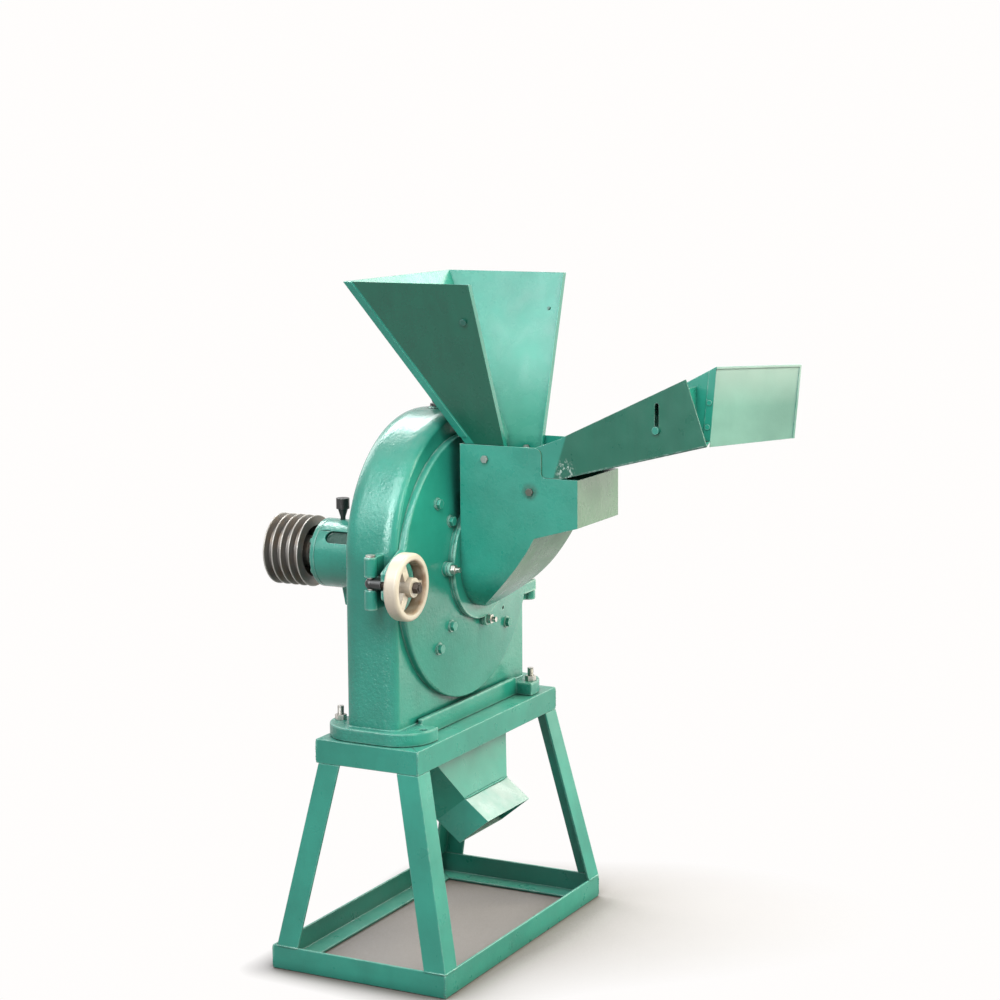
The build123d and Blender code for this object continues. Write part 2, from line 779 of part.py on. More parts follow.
with BuildPart() as lifting_eye:
    with BuildSketch(Plane.XY.offset(eye_seat)):
        with Locations((0, casing_middle)):
            Circle(eye_ring)
    extrude(amount=eye_collar)
    with BuildSketch(Plane.XY.offset(eye_seat)):
        with Locations((0, casing_middle)):
            Circle(eye_stem_radius)
    extrude(amount=-eye_stem_depth)
    with BuildSketch(Plane(origin=(0, casing_middle, eye_centre), x_dir=(1, 0, 0), z_dir=(0, 0, 1))):
        with Locations((eye_ring, 0)):
            Circle(eye_bar)
    revolve(axis=Axis((0, casing_middle, eye_centre), (0, 1, 0)), revolution_arc=360)
lifting_eye.part.label = "lifting_eye"
export_step(lifting_eye.part, "parts/lifting_eye.step")

# Bearing housing: spigot and flange on the casing's back, then the tube
rib_top = axis_z - (tube_radius + bearing_outer) / 2
rib_low = axis_z - tube_radius - rib_depth
window_y = tube_end - window_setback - window_length / 2
grease_y = tube_end - grease_setback
cover_bolts_at = [
    around_axis(cover_bolt_circle, 360 / cover_bolt_count * (i + 0.5), axis_z)
    for i in range(cover_bolt_count)
]

with BuildPart() as bearing_housing:
    with BuildSketch(turning_plane):
        Polygon(
            (chamber_back, bearing_outer),
            (chamber_back, spigot_radius),
            (casing_back, spigot_radius),
            (casing_back, housing_flange_radius),
            (casing_back + housing_flange_thickness, housing_flange_radius),
            (casing_back + housing_flange_thickness, tube_radius),
            (tube_end, tube_radius),
            (tube_end, bearing_outer),
            (rear_bearing, bearing_outer),
            (rear_bearing, neck_radius),
            (front_bearing_end, neck_radius),
            (front_bearing_end, bearing_outer),
            align=None,
        )
    revolve(axis=shaft_axis)
    # Rib under the tube, from the flange almost to the tube's end
    with BuildSketch(Plane.YZ):
        Polygon(
            (casing_back, rib_top),
            (tube_end - rib_setback, rib_top),
            (tube_end - rib_setback - rib_end_slant, rib_low),
            (casing_back, rib_low),
            align=None,
        )
    extrude(amount=rib_thickness / 2, both=True)
    with BuildSketch(facing_front(casing_back)):
        with Locations(*housing_bolts_at):
            Circle(housing_bolt_dia / 2 + hole_play)
    extrude(amount=-housing_flange_thickness, mode=Mode.SUBTRACT)
    with BuildSketch(facing_front(tube_end)):
        with Locations(*cover_bolts_at):
            Circle(cover_bolt_dia / 2)
    extrude(amount=2 * cover_bolt_dia, mode=Mode.SUBTRACT)
    # Recess in the side of the tube, tilted up a little
    window_normal = (-cos(radians(window_tilt)), 0, sin(radians(window_tilt)))
    window_origin = (tube_radius * window_normal[0], window_y, axis_z + tube_radius * window_normal[2])
    with BuildSketch(Plane(origin=window_origin, x_dir=(0, -1, 0), z_dir=window_normal)):
        SlotOverall(window_length, window_height)
    extrude(amount=-window_depth, mode=Mode.SUBTRACT)
    with BuildSketch(Plane.XY.offset(axis_z + tube_radius - grease_stem_depth)):
        with Locations((0, grease_y)):
            Circle(grease_stem_radius)
    extrude(amount=2 * grease_stem_depth, mode=Mode.SUBTRACT)
bearing_housing.part.label = "bearing_housing"
export_step(bearing_housing.part, "parts/bearing_housing.step")

with BuildPart() as housing_bolts:
    with BuildSketch(facing_front(casing_back + housing_flange_thickness)):
        with Locations(*housing_bolts_at):
            RegularPolygon(0.8 * housing_bolt_dia, 6, major_radius=False)
    extrude(amount=-0.65 * housing_bolt_dia)
    with BuildSketch(facing_front(casing_back + housing_flange_thickness)):
        with Locations(*housing_bolts_at):
            Circle(housing_bolt_dia / 2)
    extrude(amount=housing_flange_thickness + 0.8 * casing_wall)
housing_bolts.part.label = "housing_bolts"
export_step(housing_bolts.part, "parts/housing_bolts.step")

with BuildPart() as rear_cover:
    with BuildSketch(turning_plane):
        Polygon(
            (rear_bearing_end, neck_radius),
            (rear_bearing_end, bearing_outer),
            (tube_end, bearing_outer),
            (tube_end, tube_radius),
            (cover_end, tube_radius),
            (cover_end, bearing_inner + sleeve_wall + face_gap),
            (tube_end, bearing_inner + sleeve_wall + face_gap),
            (tube_end, neck_radius),
            align=None,
        )
    revolve(axis=shaft_axis)
    with BuildSketch(facing_front(cover_end)):
        with Locations(*cover_bolts_at):
            Circle(cover_bolt_dia / 2 + hole_play)
    extrude(amount=cover_thickness, mode=Mode.SUBTRACT)
rear_cover.part.label = "rear_cover"
export_step(rear_cover.part, "parts/rear_cover.step")

with BuildPart() as cover_bolts:
    with BuildSketch(facing_front(cover_end)):
        with Locations(*cover_bolts_at):
            RegularPolygon(0.8 * cover_bolt_dia, 6, major_radius=False)
    extrude(amount=-0.65 * cover_bolt_dia)
    with BuildSketch(facing_front(cover_end)):
        with Locations(*cover_bolts_at):
            Circle(cover_bolt_dia / 2)
    extrude(amount=cover_thickness + 1.5 * cover_bolt_dia)
cover_bolts.part.label = "cover_bolts"
export_step(cover_bolts.part, "parts/cover_bolts.step")

with BuildPart() as front_seal:
    with BuildSketch(turning_plane):
        Polygon(
            (chamber_back, bearing_inner + distance_ring_wall + face_gap),
            (chamber_back, bearing_outer),
            (front_bearing, bearing_outer),
            (front_bearing, neck_radius),
            (front_bearing - shield_thickness, neck_radius),
            (front_bearing - shield_thickness, bearing_inner + distance_ring_wall + face_gap),
            align=None,
        )
    revolve(axis=shaft_axis)
front_seal.part.label = "front_seal"
export_step(front_seal.part, "parts/front_seal.step")

# Ball bearings: shielded outer rings stay in the housing, inner rings turn with the shaft
race_bore = bearing_outer - race_thickness
inner_race = bearing_inner + inner_race_thickness

with BuildPart() as bearing_outer_rings:
    for start in (front_bearing, rear_bearing):
        with BuildSketch(turning_plane):
            Polygon(
                (start, bearing_outer),
                (start + bearing_width, bearing_outer),
                (start + bearing_width, inner_race + hole_play),
                (start + bearing_width - shield_thickness, inner_race + hole_play),
                (start + bearing_width - shield_thickness, race_bore),
                (start + shield_thickness, race_bore),
                (start + shield_thickness, inner_race + hole_play),
                (start, inner_race + hole_play),
                align=None,
            )
        revolve(axis=shaft_axis)
bearing_outer_rings.part.label = "bearing_outer_rings"
export_step(bearing_outer_rings.part, "parts/bearing_outer_rings.step")

with BuildPart() as bearing_inner_rings:
    for start in (front_bearing, rear_bearing):
        with BuildSketch(turning_plane):
            Polygon(
                (start, bearing_inner),
                (start + bearing_width, bearing_inner),
                (start + bearing_width, inner_race),
                (start, inner_race),
                align=None,
            )
        revolve(axis=shaft_axis)
bearing_inner_rings.part.label = "bearing_inner_rings"
export_step(bearing_inner_rings.part, "parts/bearing_inner_rings.step")

# Shaft with rotor seat, bearing seats, shoulder and pulley seat
rotor_key_start = rotor_front + key_setback
pulley_key_start = hub_front + web_start - hub_setback - key_length / 2
nut_front = rotor_front - rotor_nut_height

with BuildPart() as shaft:
    with BuildSketch(turning_plane):
        Polygon(
            (nut_front - rotor_thread_end, 0),
            (nut_front - rotor_thread_end, thread_radius),
            (rotor_front, thread_radius),
            (rotor_front, seat_radius),
            (rotor_hub_end, seat_radius),
            (rotor_hub_end, bearing_inner),
            (front_bearing_end, bearing_inner),
            (front_bearing_end, shoulder_radius),
            (rear_bearing, shoulder_radius),
            (rear_bearing, bearing_inner),
            (hub_front, bearing_inner),
            (hub_front, seat_radius),
            (shaft_end, seat_radius),
            (shaft_end, 0),
            align=None,
        )
    revolve(axis=shaft_axis)
    for start in (rotor_key_start, pulley_key_start):
        with BuildSketch(Plane.XY.offset(axis_z + seat_radius - key_height / 2)):
            with Locations((0, start + key_length / 2)):
                Rectangle(key_width, key_length)
        extrude(amount=key_height, mode=Mode.SUBTRACT)
    with BuildSketch(facing_front(shaft_end)):
        with Locations((0, axis_z)):
            Circle(pulley_bolt_dia / 2)
    extrude(amount=pulley_bolt_length, mode=Mode.SUBTRACT)
shaft.part.label = "shaft"
export_step(shaft.part, "parts/shaft.step")

with BuildPart() as shaft_keys:
    for start in (rotor_key_start, pulley_key_start):
        with BuildSketch(Plane.XY.offset(axis_z + seat_radius - key_height / 2)):
            with Locations((0, start + key_length / 2)):
                Rectangle(key_width, key_length)
        extrude(amount=key_height)
shaft_keys.part.label = "shaft_keys"
export_step(shaft_keys.part, "parts/shaft_keys.step")

with BuildPart() as distance_ring:
    with BuildSketch(facing_front(front_bearing)):
        with Locations((0, axis_z)):
            Circle(bearing_inner + distance_ring_wall)
            Circle(bearing_inner, mode=Mode.SUBTRACT)
    extrude(amount=front_bearing - rotor_hub_end)
distance_ring.part.label = "distance_ring"
export_step(distance_ring.part, "parts/distance_ring.step")

with BuildPart() as pulley_sleeve:
    with BuildSketch(facing_front(hub_front)):
        with Locations((0, axis_z)):
            Circle(bearing_inner + sleeve_wall)
            Circle(bearing_inner, mode=Mode.SUBTRACT)
    extrude(amount=hub_front - rear_bearing_end)
pulley_sleeve.part.label = "pulley_sleeve"
export_step(pulley_sleeve.part, "parts/pulley_sleeve.step")

# Pulley with four vee grooves, hub and keyway, held by a washer and a bolt
groove_half_low = groove_half_top - groove_depth * tan(radians(groove_angle))

with BuildPart() as pulley:
    with BuildSketch(turning_plane):
        Polygon(
            (pulley_front, rim_inner_radius),
            (pulley_front, pulley_radius),
            (pulley_back, pulley_radius),
            (pulley_back, rim_inner_radius),
            (pulley_front + web_start + web_thickness, rim_inner_radius),
            (pulley_front + web_start + web_thickness, pulley_hub_radius),
            (hub_back, pulley_hub_radius),
            (hub_back, seat_radius),
            (hub_front, seat_radius),
            (hub_front, pulley_hub_radius),
            (pulley_front + web_start, pulley_hub_radius),
            (pulley_front + web_start, rim_inner_radius),
            align=None,
        )
    revolve(axis=shaft_axis)
    for i in range(groove_count):
        middle = pulley_front + groove_edge + i * groove_pitch
        with BuildSketch(turning_plane):
            Polygon(
                (middle - groove_half_top, pulley_radius),
                (middle + groove_half_top, pulley_radius),
                (middle + groove_half_low, pulley_radius - groove_depth),
                (middle - groove_half_low, pulley_radius - groove_depth),
                align=None,
            )
        revolve(axis=shaft_axis, mode=Mode.SUBTRACT)
    with BuildSketch(Plane.XY.offset(axis_z + seat_radius - key_height / 2)):
        with Locations((0, pulley_key_start + key_length / 2)):
            Rectangle(key_width, key_length)
    extrude(amount=key_height, mode=Mode.SUBTRACT)
pulley.part.label = "pulley"
export_step(pulley.part, "parts/pulley.step")

with BuildPart() as pulley_washer:
    with BuildSketch(facing_front(hub_back)):
        with Locations((0, axis_z)):
            Circle(pulley_washer_radius)
            Circle(pulley_bolt_dia / 2, mode=Mode.SUBTRACT)
    extrude(amount=-pulley_washer_thickness)
pulley_washer.part.label = "pulley_washer"
export_step(pulley_washer.part, "parts/pulley_washer.step")

with BuildPart() as pulley_bolt:
    with BuildSketch(facing_front(hub_back + pulley_washer_thickness)):
        with Locations((0, axis_z)):
            RegularPolygon(0.75 * pulley_bolt_dia, 6, major_radius=False)
    extrude(amount=-pulley_bolt_head)
    with BuildSketch(facing_front(hub_back + pulley_washer_thickness)):
        with Locations((0, axis_z)):
            Circle(pulley_bolt_dia / 2)
    extrude(amount=pulley_washer_thickness + shaft_end_setback + 0.9 * pulley_bolt_length)
pulley_bolt.part.label = "pulley_bolt"
export_step(pulley_bolt.part, "parts/pulley_bolt.step")

# Grease cup on top of the tube
grease_seat = axis_z + tube_radius

with BuildPart() as grease_cup:
    with BuildSketch(Plane(origin=(0, grease_y, grease_seat), x_dir=(1, 0, 0), z_dir=(0, -1, 0))):
        Polygon(
            (0, -grease_stem_depth),
            (grease_stem_radius, -grease_stem_depth),
            (grease_stem_radius, grease_neck),
            (grease_cap_radius - grease_cap_step, grease_neck + grease_cone),
            (grease_cap_radius, grease_neck + grease_cone),
            (grease_cap_radius, grease_neck + grease_cone + grease_cap_height),
            (0, grease_neck + grease_cone + grease_cap_height),
            align=None,
        )
    revolve(axis=Axis((0, grease_y, 0), (0, 0, 1)))
grease_cup.part.label = "grease_cup"
export_step(grease_cup.part, "parts/grease_cup.step")

# Rotor: disc on the shaft, round pins near the inlet, flat teeth at the rim, centre nut
pins_at = [around_axis(pin_circle, 360 / pin_count * i, axis_z) for i in range(pin_count)]
teeth_at = [around_axis(tooth_circle, 360 / tooth_count * i, axis_z) for i in range(tooth_count)]

with BuildPart() as rotor_disc:
    with BuildSketch(turning_plane):
        Polygon(
            (rotor_front, seat_radius),
            (rotor_front, rotor_radius),
            (rotor_back, rotor_radius),
            (rotor_back, rotor_hub_radius),
            (rotor_hub_end, rotor_hub_radius),
            (rotor_hub_end, seat_radius),
            align=None,
        )
    revolve(axis=shaft_axis)
    with BuildSketch(facing_front(rotor_back)):
        with Locations(*pins_at, *teeth_at):
            Circle(stem_radius)
    extrude(amount=rotor_thickness, mode=Mode.SUBTRACT)
    with BuildSketch(Plane.XY.offset(axis_z + seat_radius - key_height / 2)):
        with Locations((0, rotor_key_start + key_length / 2)):
            Rectangle(key_width, key_length)
    extrude(amount=key_height, mode=Mode.SUBTRACT)
rotor_disc.part.label = "rotor_disc"
export_step(rotor_disc.part, "parts/rotor_disc.step")

with BuildPart() as rotor_pins:
    with BuildSketch(facing_front(rotor_back)):
        with Locations(*pins_at):
            Circle(stem_radius)
    extrude(amount=rotor_thickness)
    with BuildSketch(facing_front(rotor_front)):
        with Locations(*pins_at):
            Circle(pin_radius)
    extrude(amount=rotor_tooth_length)
rotor_pins.part.label = "rotor_pins"
export_step(rotor_pins.part, "parts/rotor_pins.step")

with BuildPart() as rotor_teeth:
    with BuildSketch(facing_front(rotor_back)):
        with Locations(*teeth_at):
            Circle(stem_radius)
    extrude(amount=rotor_thickness)
    with BuildSketch(facing_front(rotor_front)):
        with Locations((0, axis_z)):
            with PolarLocations(tooth_circle, tooth_count):
                Rectangle(tooth_deep, tooth_wide)
    extrude(amount=rotor_tooth_length)
rotor_teeth.part.label = "rotor_teeth"
export_step(rotor_teeth.part, "parts/rotor_teeth.step")

with BuildPart() as rotor_nut:
    with BuildSketch(facing_front(rotor_front)):
        with Locations((0, axis_z)):
            RegularPolygon(rotor_nut_flats / 2, 6, major_radius=False)
            Circle(thread_radius, mode=Mode.SUBTRACT)
    extrude(amount=rotor_nut_height)
rotor_nut.part.label = "rotor_nut"
export_step(rotor_nut.part, "parts/rotor_nut.step")

# Ring sieve: slotted band round the rotor, seated in the casing's back wall
with BuildPart() as ring_sieve:
    with BuildSketch(facing_front(sieve_end)):
        with Locations((0, axis_z)):
            Circle(sieve_radius + sieve_thickness)
            Circle(sieve_radius, mode=Mode.SUBTRACT)
    extrude(amount=sieve_end - casing_front - face_gap)
    for i in range(sieve_slot_count):
        turn = radians(360 / sieve_slot_count * i)
        outward = (cos(turn), 0, sin(turn))
        start = sieve_radius - sieve_thickness
        slot_at = (start * outward[0], casing_middle, axis_z + start * outward[2])
        with BuildSketch(Plane(origin=slot_at, x_dir=(0, 1, 0), z_dir=outward)):
            SlotOverall(sieve_slot_length, sieve_slot_width)
        extrude(amount=3 * sieve_thickness, mode=Mode.SUBTRACT)
ring_sieve.part.label = "ring_sieve"
export_step(ring_sieve.part, "parts/ring_sieve.step")

# Door: round plate with inlet boss, clamp lug, hinge arms and knuckles
inlet_bolts_at = [around_axis(inlet_bolt_circle, angle, inlet_z) for angle in inlet_lug_angles]
outer_bolts_at = [around_axis(door_bolt_outer, angle, axis_z) for angle in outer_bolt_angles]
inner_bolts_at = [around_axis(door_bolt_inner, angle, axis_z) for angle in inner_bolt_angles]
door_bolts_at = outer_bolts_at + inner_bolts_at


def door_face(radius):
    """Where the coned face of the door lies along Y, at a radius from the shaft axis."""
    share = (door_radius - door_edge - radius) / (door_radius - door_edge - boss_radius)
    return door_front - share * door_dish


outer_seat = door_face(door_bolt_outer - door_pad_radius) - door_pad_rise
inner_seat = door_face(door_bolt_inner - door_pad_radius) - door_pad_rise
dish_depth_at_spare = door_face(spare_hole_circle) - dish_front
door_knuckle_low = [level + face_gap / 2 for level in hinge_levels]
clamp_slot = clamp_screw_radius + clamp_screw_play
lug_tip = clamp_x - door_lug_end
lug_high_x = -sqrt(door_radius**2 - (clamp_rise + door_lug_root) ** 2)
lug_low_x = -sqrt(door_radius**2 - (clamp_rise - door_lug_root) ** 2)

with BuildPart() as door:
    with BuildSketch(facing_front(casing_front)) as door_outline:
        # Tapered clamp lug with rounded corners, then the round plate
        Polygon(
            (lug_high_x, clamp_z + door_lug_root),
            (lug_tip, clamp_z + door_lug_half),
            (lug_tip, clamp_z - door_lug_half),
            (lug_low_x, clamp_z - door_lug_root),
            align=None,
        )
        fillet(door_outline.vertices().sort_by(Axis.X)[:2], door_lug_corner)
        with Locations((0, axis_z)):
            Circle(door_radius)
    extrude(amount=door_thickness)
    fillet(door.faces().sort_by(Axis.Y)[0].outer_wire().edges(), door_edge)
    # Shallow cone from the rim to the inlet boss
    with BuildSketch(turning_plane):
        Polygon(
            (casing_front, inlet_radius - 2 * inlet_rise),
            (casing_front, door_radius - door_edge),
            (door_front, door_radius - door_edge),
            (dish_front, boss_radius),
            (dish_front, inlet_radius - 2 * inlet_rise),
            align=None,
        )
    revolve(axis=shaft_axis)
    for low in door_knuckle_low:
        with BuildSketch(Plane.XY.offset(low)):
            with Locations((hinge_x, hinge_y)):
                Circle(knuckle_radius)
            with Locations(((arm_root + hinge_x) / 2, casing_front - door_thickness / 2)):
                Rectangle(hinge_x - arm_root, door_thickness)
        extrude(amount=knuckle_height)
    with BuildSketch(facing_front(door_front)):
        with Locations((0, inlet_z)):
            Circle(boss_radius)
        with Locations(*inlet_bolts_at):
            Circle(inlet_lug_radius)
    extrude(amount=door_dish + boss_height)
    # Flat pads for the bolt heads
    with BuildSketch(facing_front(door_front)):
        with Locations(*outer_bolts_at):
            Circle(door_pad_radius)
    extrude(amount=door_front - outer_seat)
    with BuildSketch(facing_front(door_front)):
        with Locations(*inner_bolts_at):
            Circle(door_pad_radius)
    extrude(amount=door_front - inner_seat)
    with BuildSketch(facing_front(casing_front)):
        with Locations((lug_tip, clamp_z)):
            SlotOverall(2 * (door_lug_end + clamp_slot), 2 * clamp_slot)
    extrude(amount=door_thickness, mode=Mode.SUBTRACT)
    for low in door_knuckle_low:
        with BuildSketch(Plane.XY.offset(low)):
            with Locations((hinge_x, hinge_y)):
                Circle(hinge_pin_radius + running_gap)
        extrude(amount=knuckle_height, mode=Mode.SUBTRACT)
    with BuildSketch(facing_front(casing_front)):
        with Locations((0, inlet_z)):
            Circle(inlet_radius)
        with Locations(*door_bolts_at):
            Circle(door_bolt_dia / 2 + hole_play)
    extrude(amount=door_thickness + door_dish + boss_height, mode=Mode.SUBTRACT)
    with BuildSketch(facing_front(door_front)):
        with Locations(*inlet_bolts_at):
            Circle(inlet_bolt_dia / 2)
    extrude(amount=door_dish + boss_height, mode=Mode.SUBTRACT)
    with BuildSketch(facing_front(dish_front)):
        with Locations(around_axis(spare_hole_circle, spare_hole_angle, axis_z)):
            Circle(spare_hole_dia / 2)
    extrude(amount=-(spare_hole_depth + dish_depth_at_spare), mode=Mode.SUBTRACT)
door.part.label = "door"
export_step(door.part, "parts/door.step")

with BuildPart() as hinge_pins:
    for low in casing_knuckle_low:
        pin_top = low + 2 * knuckle_height + 2 * face_gap
        with BuildSketch(Plane.XY.offset(low)):
            with Locations((hinge_x, hinge_y)):
                Circle(hinge_pin_radius)
        extrude(amount=pin_top - low)
        with BuildSketch(Plane.XY.offset(pin_top)):
            with Locations((hinge_x, hinge_y)):
                Circle(hinge_pin_head_radius)
        extrude(amount=hinge_pin_head)
hinge_pins.part.label = "hinge_pins"
export_step(hinge_pins.part, "parts/hinge_pins.step")

# Fixed disc on the inside of the door, with two rows of square teeth
fixed_row = []
for circle, count in ((fixed_inner_circle, fixed_inner_count), (fixed_outer_circle, fixed_outer_count)):
    fixed_row += [around_axis(circle, 360 / count * (i + 0.5), axis_z) for i in range(count)]

with BuildPart() as fixed_disc:
    with BuildSketch(facing_front(fixed_back)):
        with Locations((0, axis_z)):
            Circle(fixed_radius)
            Circle(fixed_hole, mode=Mode.SUBTRACT)
        with Locations(*fixed_row):
            Circle(fixed_stem_radius, mode=Mode.SUBTRACT)
        with Locations(*door_bolts_at):
            Circle(door_bolt_dia / 2, mode=Mode.SUBTRACT)
    extrude(amount=fixed_thickness)
fixed_disc.part.label = "fixed_disc"
export_step(fixed_disc.part, "parts/fixed_disc.step")

with BuildPart() as fixed_teeth:
    with BuildSketch(facing_front(fixed_back)):
        with Locations(*fixed_row):
            Circle(fixed_stem_radius)
    extrude(amount=fixed_thickness)
    with BuildSketch(facing_front(fixed_back + fixed_tooth_length)):
        with Locations((0, axis_z)):
            with PolarLocations(fixed_inner_circle, fixed_inner_count, 180 / fixed_inner_count):
                Rectangle(fixed_tooth_deep, fixed_tooth_wide)
            with PolarLocations(fixed_outer_circle, fixed_outer_count, 180 / fixed_outer_count):
                Rectangle(fixed_tooth_deep, fixed_tooth_wide)
    extrude(amount=fixed_tooth_length)
fixed_teeth.part.label = "fixed_teeth"
export_step(fixed_teeth.part, "parts/fixed_teeth.step")

with BuildPart() as door_bolts:
    for seat, places in ((outer_seat, outer_bolts_at), (inner_seat, inner_bolts_at)):
        with BuildSketch(facing_front(seat)):
            with Locations(*places):
                RegularPolygon(0.8 * door_bolt_dia, 6, major_radius=False)
        extrude(amount=door_bolt_head)
        with BuildSketch(facing_front(seat)):
            with Locations(*places):
                Circle(door_bolt_dia / 2)
        extrude(amount=-(casing_front + 0.8 * fixed_thickness - seat))
door_bolts.part.label = "door_bolts"
export_step(door_bolts.part, "parts/door_bolts.step")

# Inlet ring between the door's boss and the feed box
with BuildPart() as inlet_ring:
    with BuildSketch(facing_front(boss_front)):
        with Locations((0, inlet_z)):
            Circle(boss_radius)
        with Locations(*inlet_bolts_at):
            Circle(inlet_lug_radius)
        with Locations((0, inlet_z)):
            Circle(inlet_radius, mode=Mode.SUBTRACT)
        with Locations(*inlet_bolts_at):
            Circle(inlet_bolt_dia / 2 + hole_play, mode=Mode.SUBTRACT)
    extrude(amount=ring_thickness)
inlet_ring.part.label = "inlet_ring"
export_step(inlet_ring.part, "parts/inlet_ring.step")

with BuildPart() as inlet_bolts:
    with BuildSketch(facing_front(door_front)):
        with Locations(*inlet_bolts_at):
            Circle(inlet_bolt_dia / 2)
    extrude(amount=door_dish + boss_height + ring_thickness + inlet_nut_height + inlet_bolt_end)
    with BuildSketch(facing_front(ring_front)):
        with Locations(*inlet_bolts_at):
            RegularPolygon(0.8 * inlet_bolt_dia, 6, major_radius=False)
    extrude(amount=inlet_nut_height)
inlet_bolts.part.label = "inlet_bolts"
export_step(inlet_bolts.part, "parts/inlet_bolts.step")

# Feed box: sheet box with a rounded bottom and a curved front wall, open at the top
hopper_bolt_z = box_top - hopper_bolt_drop
tray_bolt_z = shelf_z - tray_bolt_drop

with BuildPart() as feed_hollow:
    with BuildSketch(Plane.YZ.offset(-box_half)):
        with BuildLine():
            ThreePointArc(
                (ring_front, inlet_z - box_low_drop),
                (box_curve, axis_z + curve_rise),
                (box_throat, axis_z + throat_rise),
            )
            Polyline(
                (box_throat, axis_z + throat_rise),
                (box_front, axis_z + block_rise),
                (box_front, shelf_z),
                (box_notch, shelf_z),
                (box_notch, box_top),
                (ring_front, box_top),
                (ring_front, inlet_z - box_low_drop),
            )
        make_face()
        offset(amount=-box_sheet, kind=Kind.INTERSECTION, mode=Mode.REPLACE)
    extrude(amount=2 * box_half)
    with BuildSketch(facing_front(ring_front)):
        with Locations((0, inlet_z)):
            Circle(box_half - box_sheet)
        with Locations((0, (inlet_z + box_top) / 2)):
            Rectangle(2 * (box_half - box_sheet), box_top - inlet_z)
    extrude(amount=ring_front - box_front, mode=Mode.INTERSECT)

with BuildPart() as feed_box:
    with BuildSketch(Plane.YZ.offset(-box_half)) as box_side:
        with BuildLine():
            ThreePointArc(
                (ring_front, inlet_z - box_low_drop),
                (box_curve, axis_z + curve_rise),
                (box_throat, axis_z + throat_rise),
            )
            Polyline(
                (box_throat, axis_z + throat_rise),
                (box_front, axis_z + block_rise),
                (box_front, shelf_z),
                (box_notch, shelf_z),
                (box_notch, box_top),
                (ring_front, box_top),
                (ring_front, inlet_z - box_low_drop),
            )
        make_face()
        fillet(
            box_side.vertices().sort_by_distance((box_notch, shelf_z, 0))[0],
            notch_inner_round,
        )
        fillet(
            box_side.vertices().sort_by_distance((box_notch, box_top, 0))[0],
            notch_outer_round,
        )
    extrude(amount=2 * box_half)
    with BuildSketch(facing_front(ring_front)):
        with Locations((0, inlet_z)):
            Circle(box_half)
        with Locations((0, (inlet_z + box_top) / 2)):
            Rectangle(2 * box_half, box_top - inlet_z)
    extrude(amount=ring_front - box_front, mode=Mode.INTERSECT)
    add(feed_hollow.part, mode=Mode.SUBTRACT)
    # Inlet at the back, mouth at the top and entry for the tray
    with BuildSketch(facing_front(ring_front)):
        with Locations((0, inlet_z)):
            Circle(inlet_radius)
    extrude(amount=2 * box_sheet, mode=Mode.SUBTRACT)
    with BuildSketch(Plane.XY.offset(box_top - 2 * box_sheet)):
        with Locations((0, (box_notch + ring_front - box_sheet) / 2)):
            Rectangle(2 * (box_half - box_sheet), ring_front - box_sheet - box_notch)
    extrude(amount=2 * box_sheet, mode=Mode.SUBTRACT)
    with BuildSketch(facing_front(box_notch + 2 * box_sheet + notch_inner_round)):
        with Locations((0, (shelf_z + box_top) / 2)):
            Rectangle(2 * (box_half - box_sheet), box_top - shelf_z)
    extrude(amount=2 * box_sheet + 2 * notch_inner_round, mode=Mode.SUBTRACT)
    with BuildSketch(Plane.YZ.offset(-box_half)):
        with Locations((hopper_bolt_y, hopper_bolt_z), (tray_bolt_y, tray_bolt_z)):
            Circle(box_bolt_dia / 2 + hole_play)
    extrude(amount=2 * box_half, mode=Mode.SUBTRACT)
feed_box.part.label = "feed_box"
export_step(feed_box.part, "parts/feed_box.step")

with BuildPart() as box_bolts:
    for side in (-1, 1):
        with BuildSketch(Plane.YZ.offset(side * box_half)):
            with Locations((hopper_bolt_y, hopper_bolt_z), (tray_bolt_y, tray_bolt_z)):
                RegularPolygon(0.8 * box_bolt_dia, 6, major_radius=False)
        extrude(amount=side * box_bolt_head)
        with BuildSketch(Plane.YZ.offset(side * box_half)):
            with Locations((hopper_bolt_y, hopper_bolt_z), (tray_bolt_y, tray_bolt_z)):
                Circle(box_bolt_dia / 2)
        extrude(amount=-side * box_bolt_length)
        with BuildSketch(Plane.YZ.offset(side * (box_half - box_sheet - hopper_sheet))):
            with Locations((hopper_bolt_y, hopper_bolt_z)):
                RegularPolygon(0.8 * box_bolt_dia, 6, major_radius=False)
        extrude(amount=-side * box_bolt_head)
        with BuildSketch(Plane.YZ.offset(side * (box_half - box_sheet - tray_sheet))):
            with Locations((tray_bolt_y, tray_bolt_z)):
                RegularPolygon(0.8 * box_bolt_dia, 6, major_radius=False)
        extrude(amount=-side * box_bolt_head)
box_bolts.part.label = "box_bolts"
export_step(box_bolts.part, "parts/box_bolts.step")

# Hopper: three sloping walls, open at the front, its skirt bolted inside the feed box
foot_half = box_half - box_sheet
foot_middle = (hopper_foot_front + hopper_foot_back) / 2
foot_depth = hopper_foot_back - hopper_foot_front
rim_middle = (hopper_rim_front + hopper_rim_back) / 2
rim_depth = hopper_rim_back - hopper_rim_front
rim_z = box_top + hopper_height
wall_run = hopper_rim_half - foot_half
wall_slant = hypot(wall_run, hopper_height)
wall_out = (-hopper_height / wall_slant, 0, -wall_run / wall_slant)
screw_x = foot_half + hopper_screw_rise / hopper_height * wall_run


def screw_seat(side):
    """The place of a screw on the outside of a hopper side wall, looking outward."""
    return Plane(
        origin=(side * screw_x, hopper_screw_y, box_top + hopper_screw_rise),
        x_dir=(0, 1, 0),
        z_dir=(-side * wall_out[0], 0, wall_out[2]),
    )


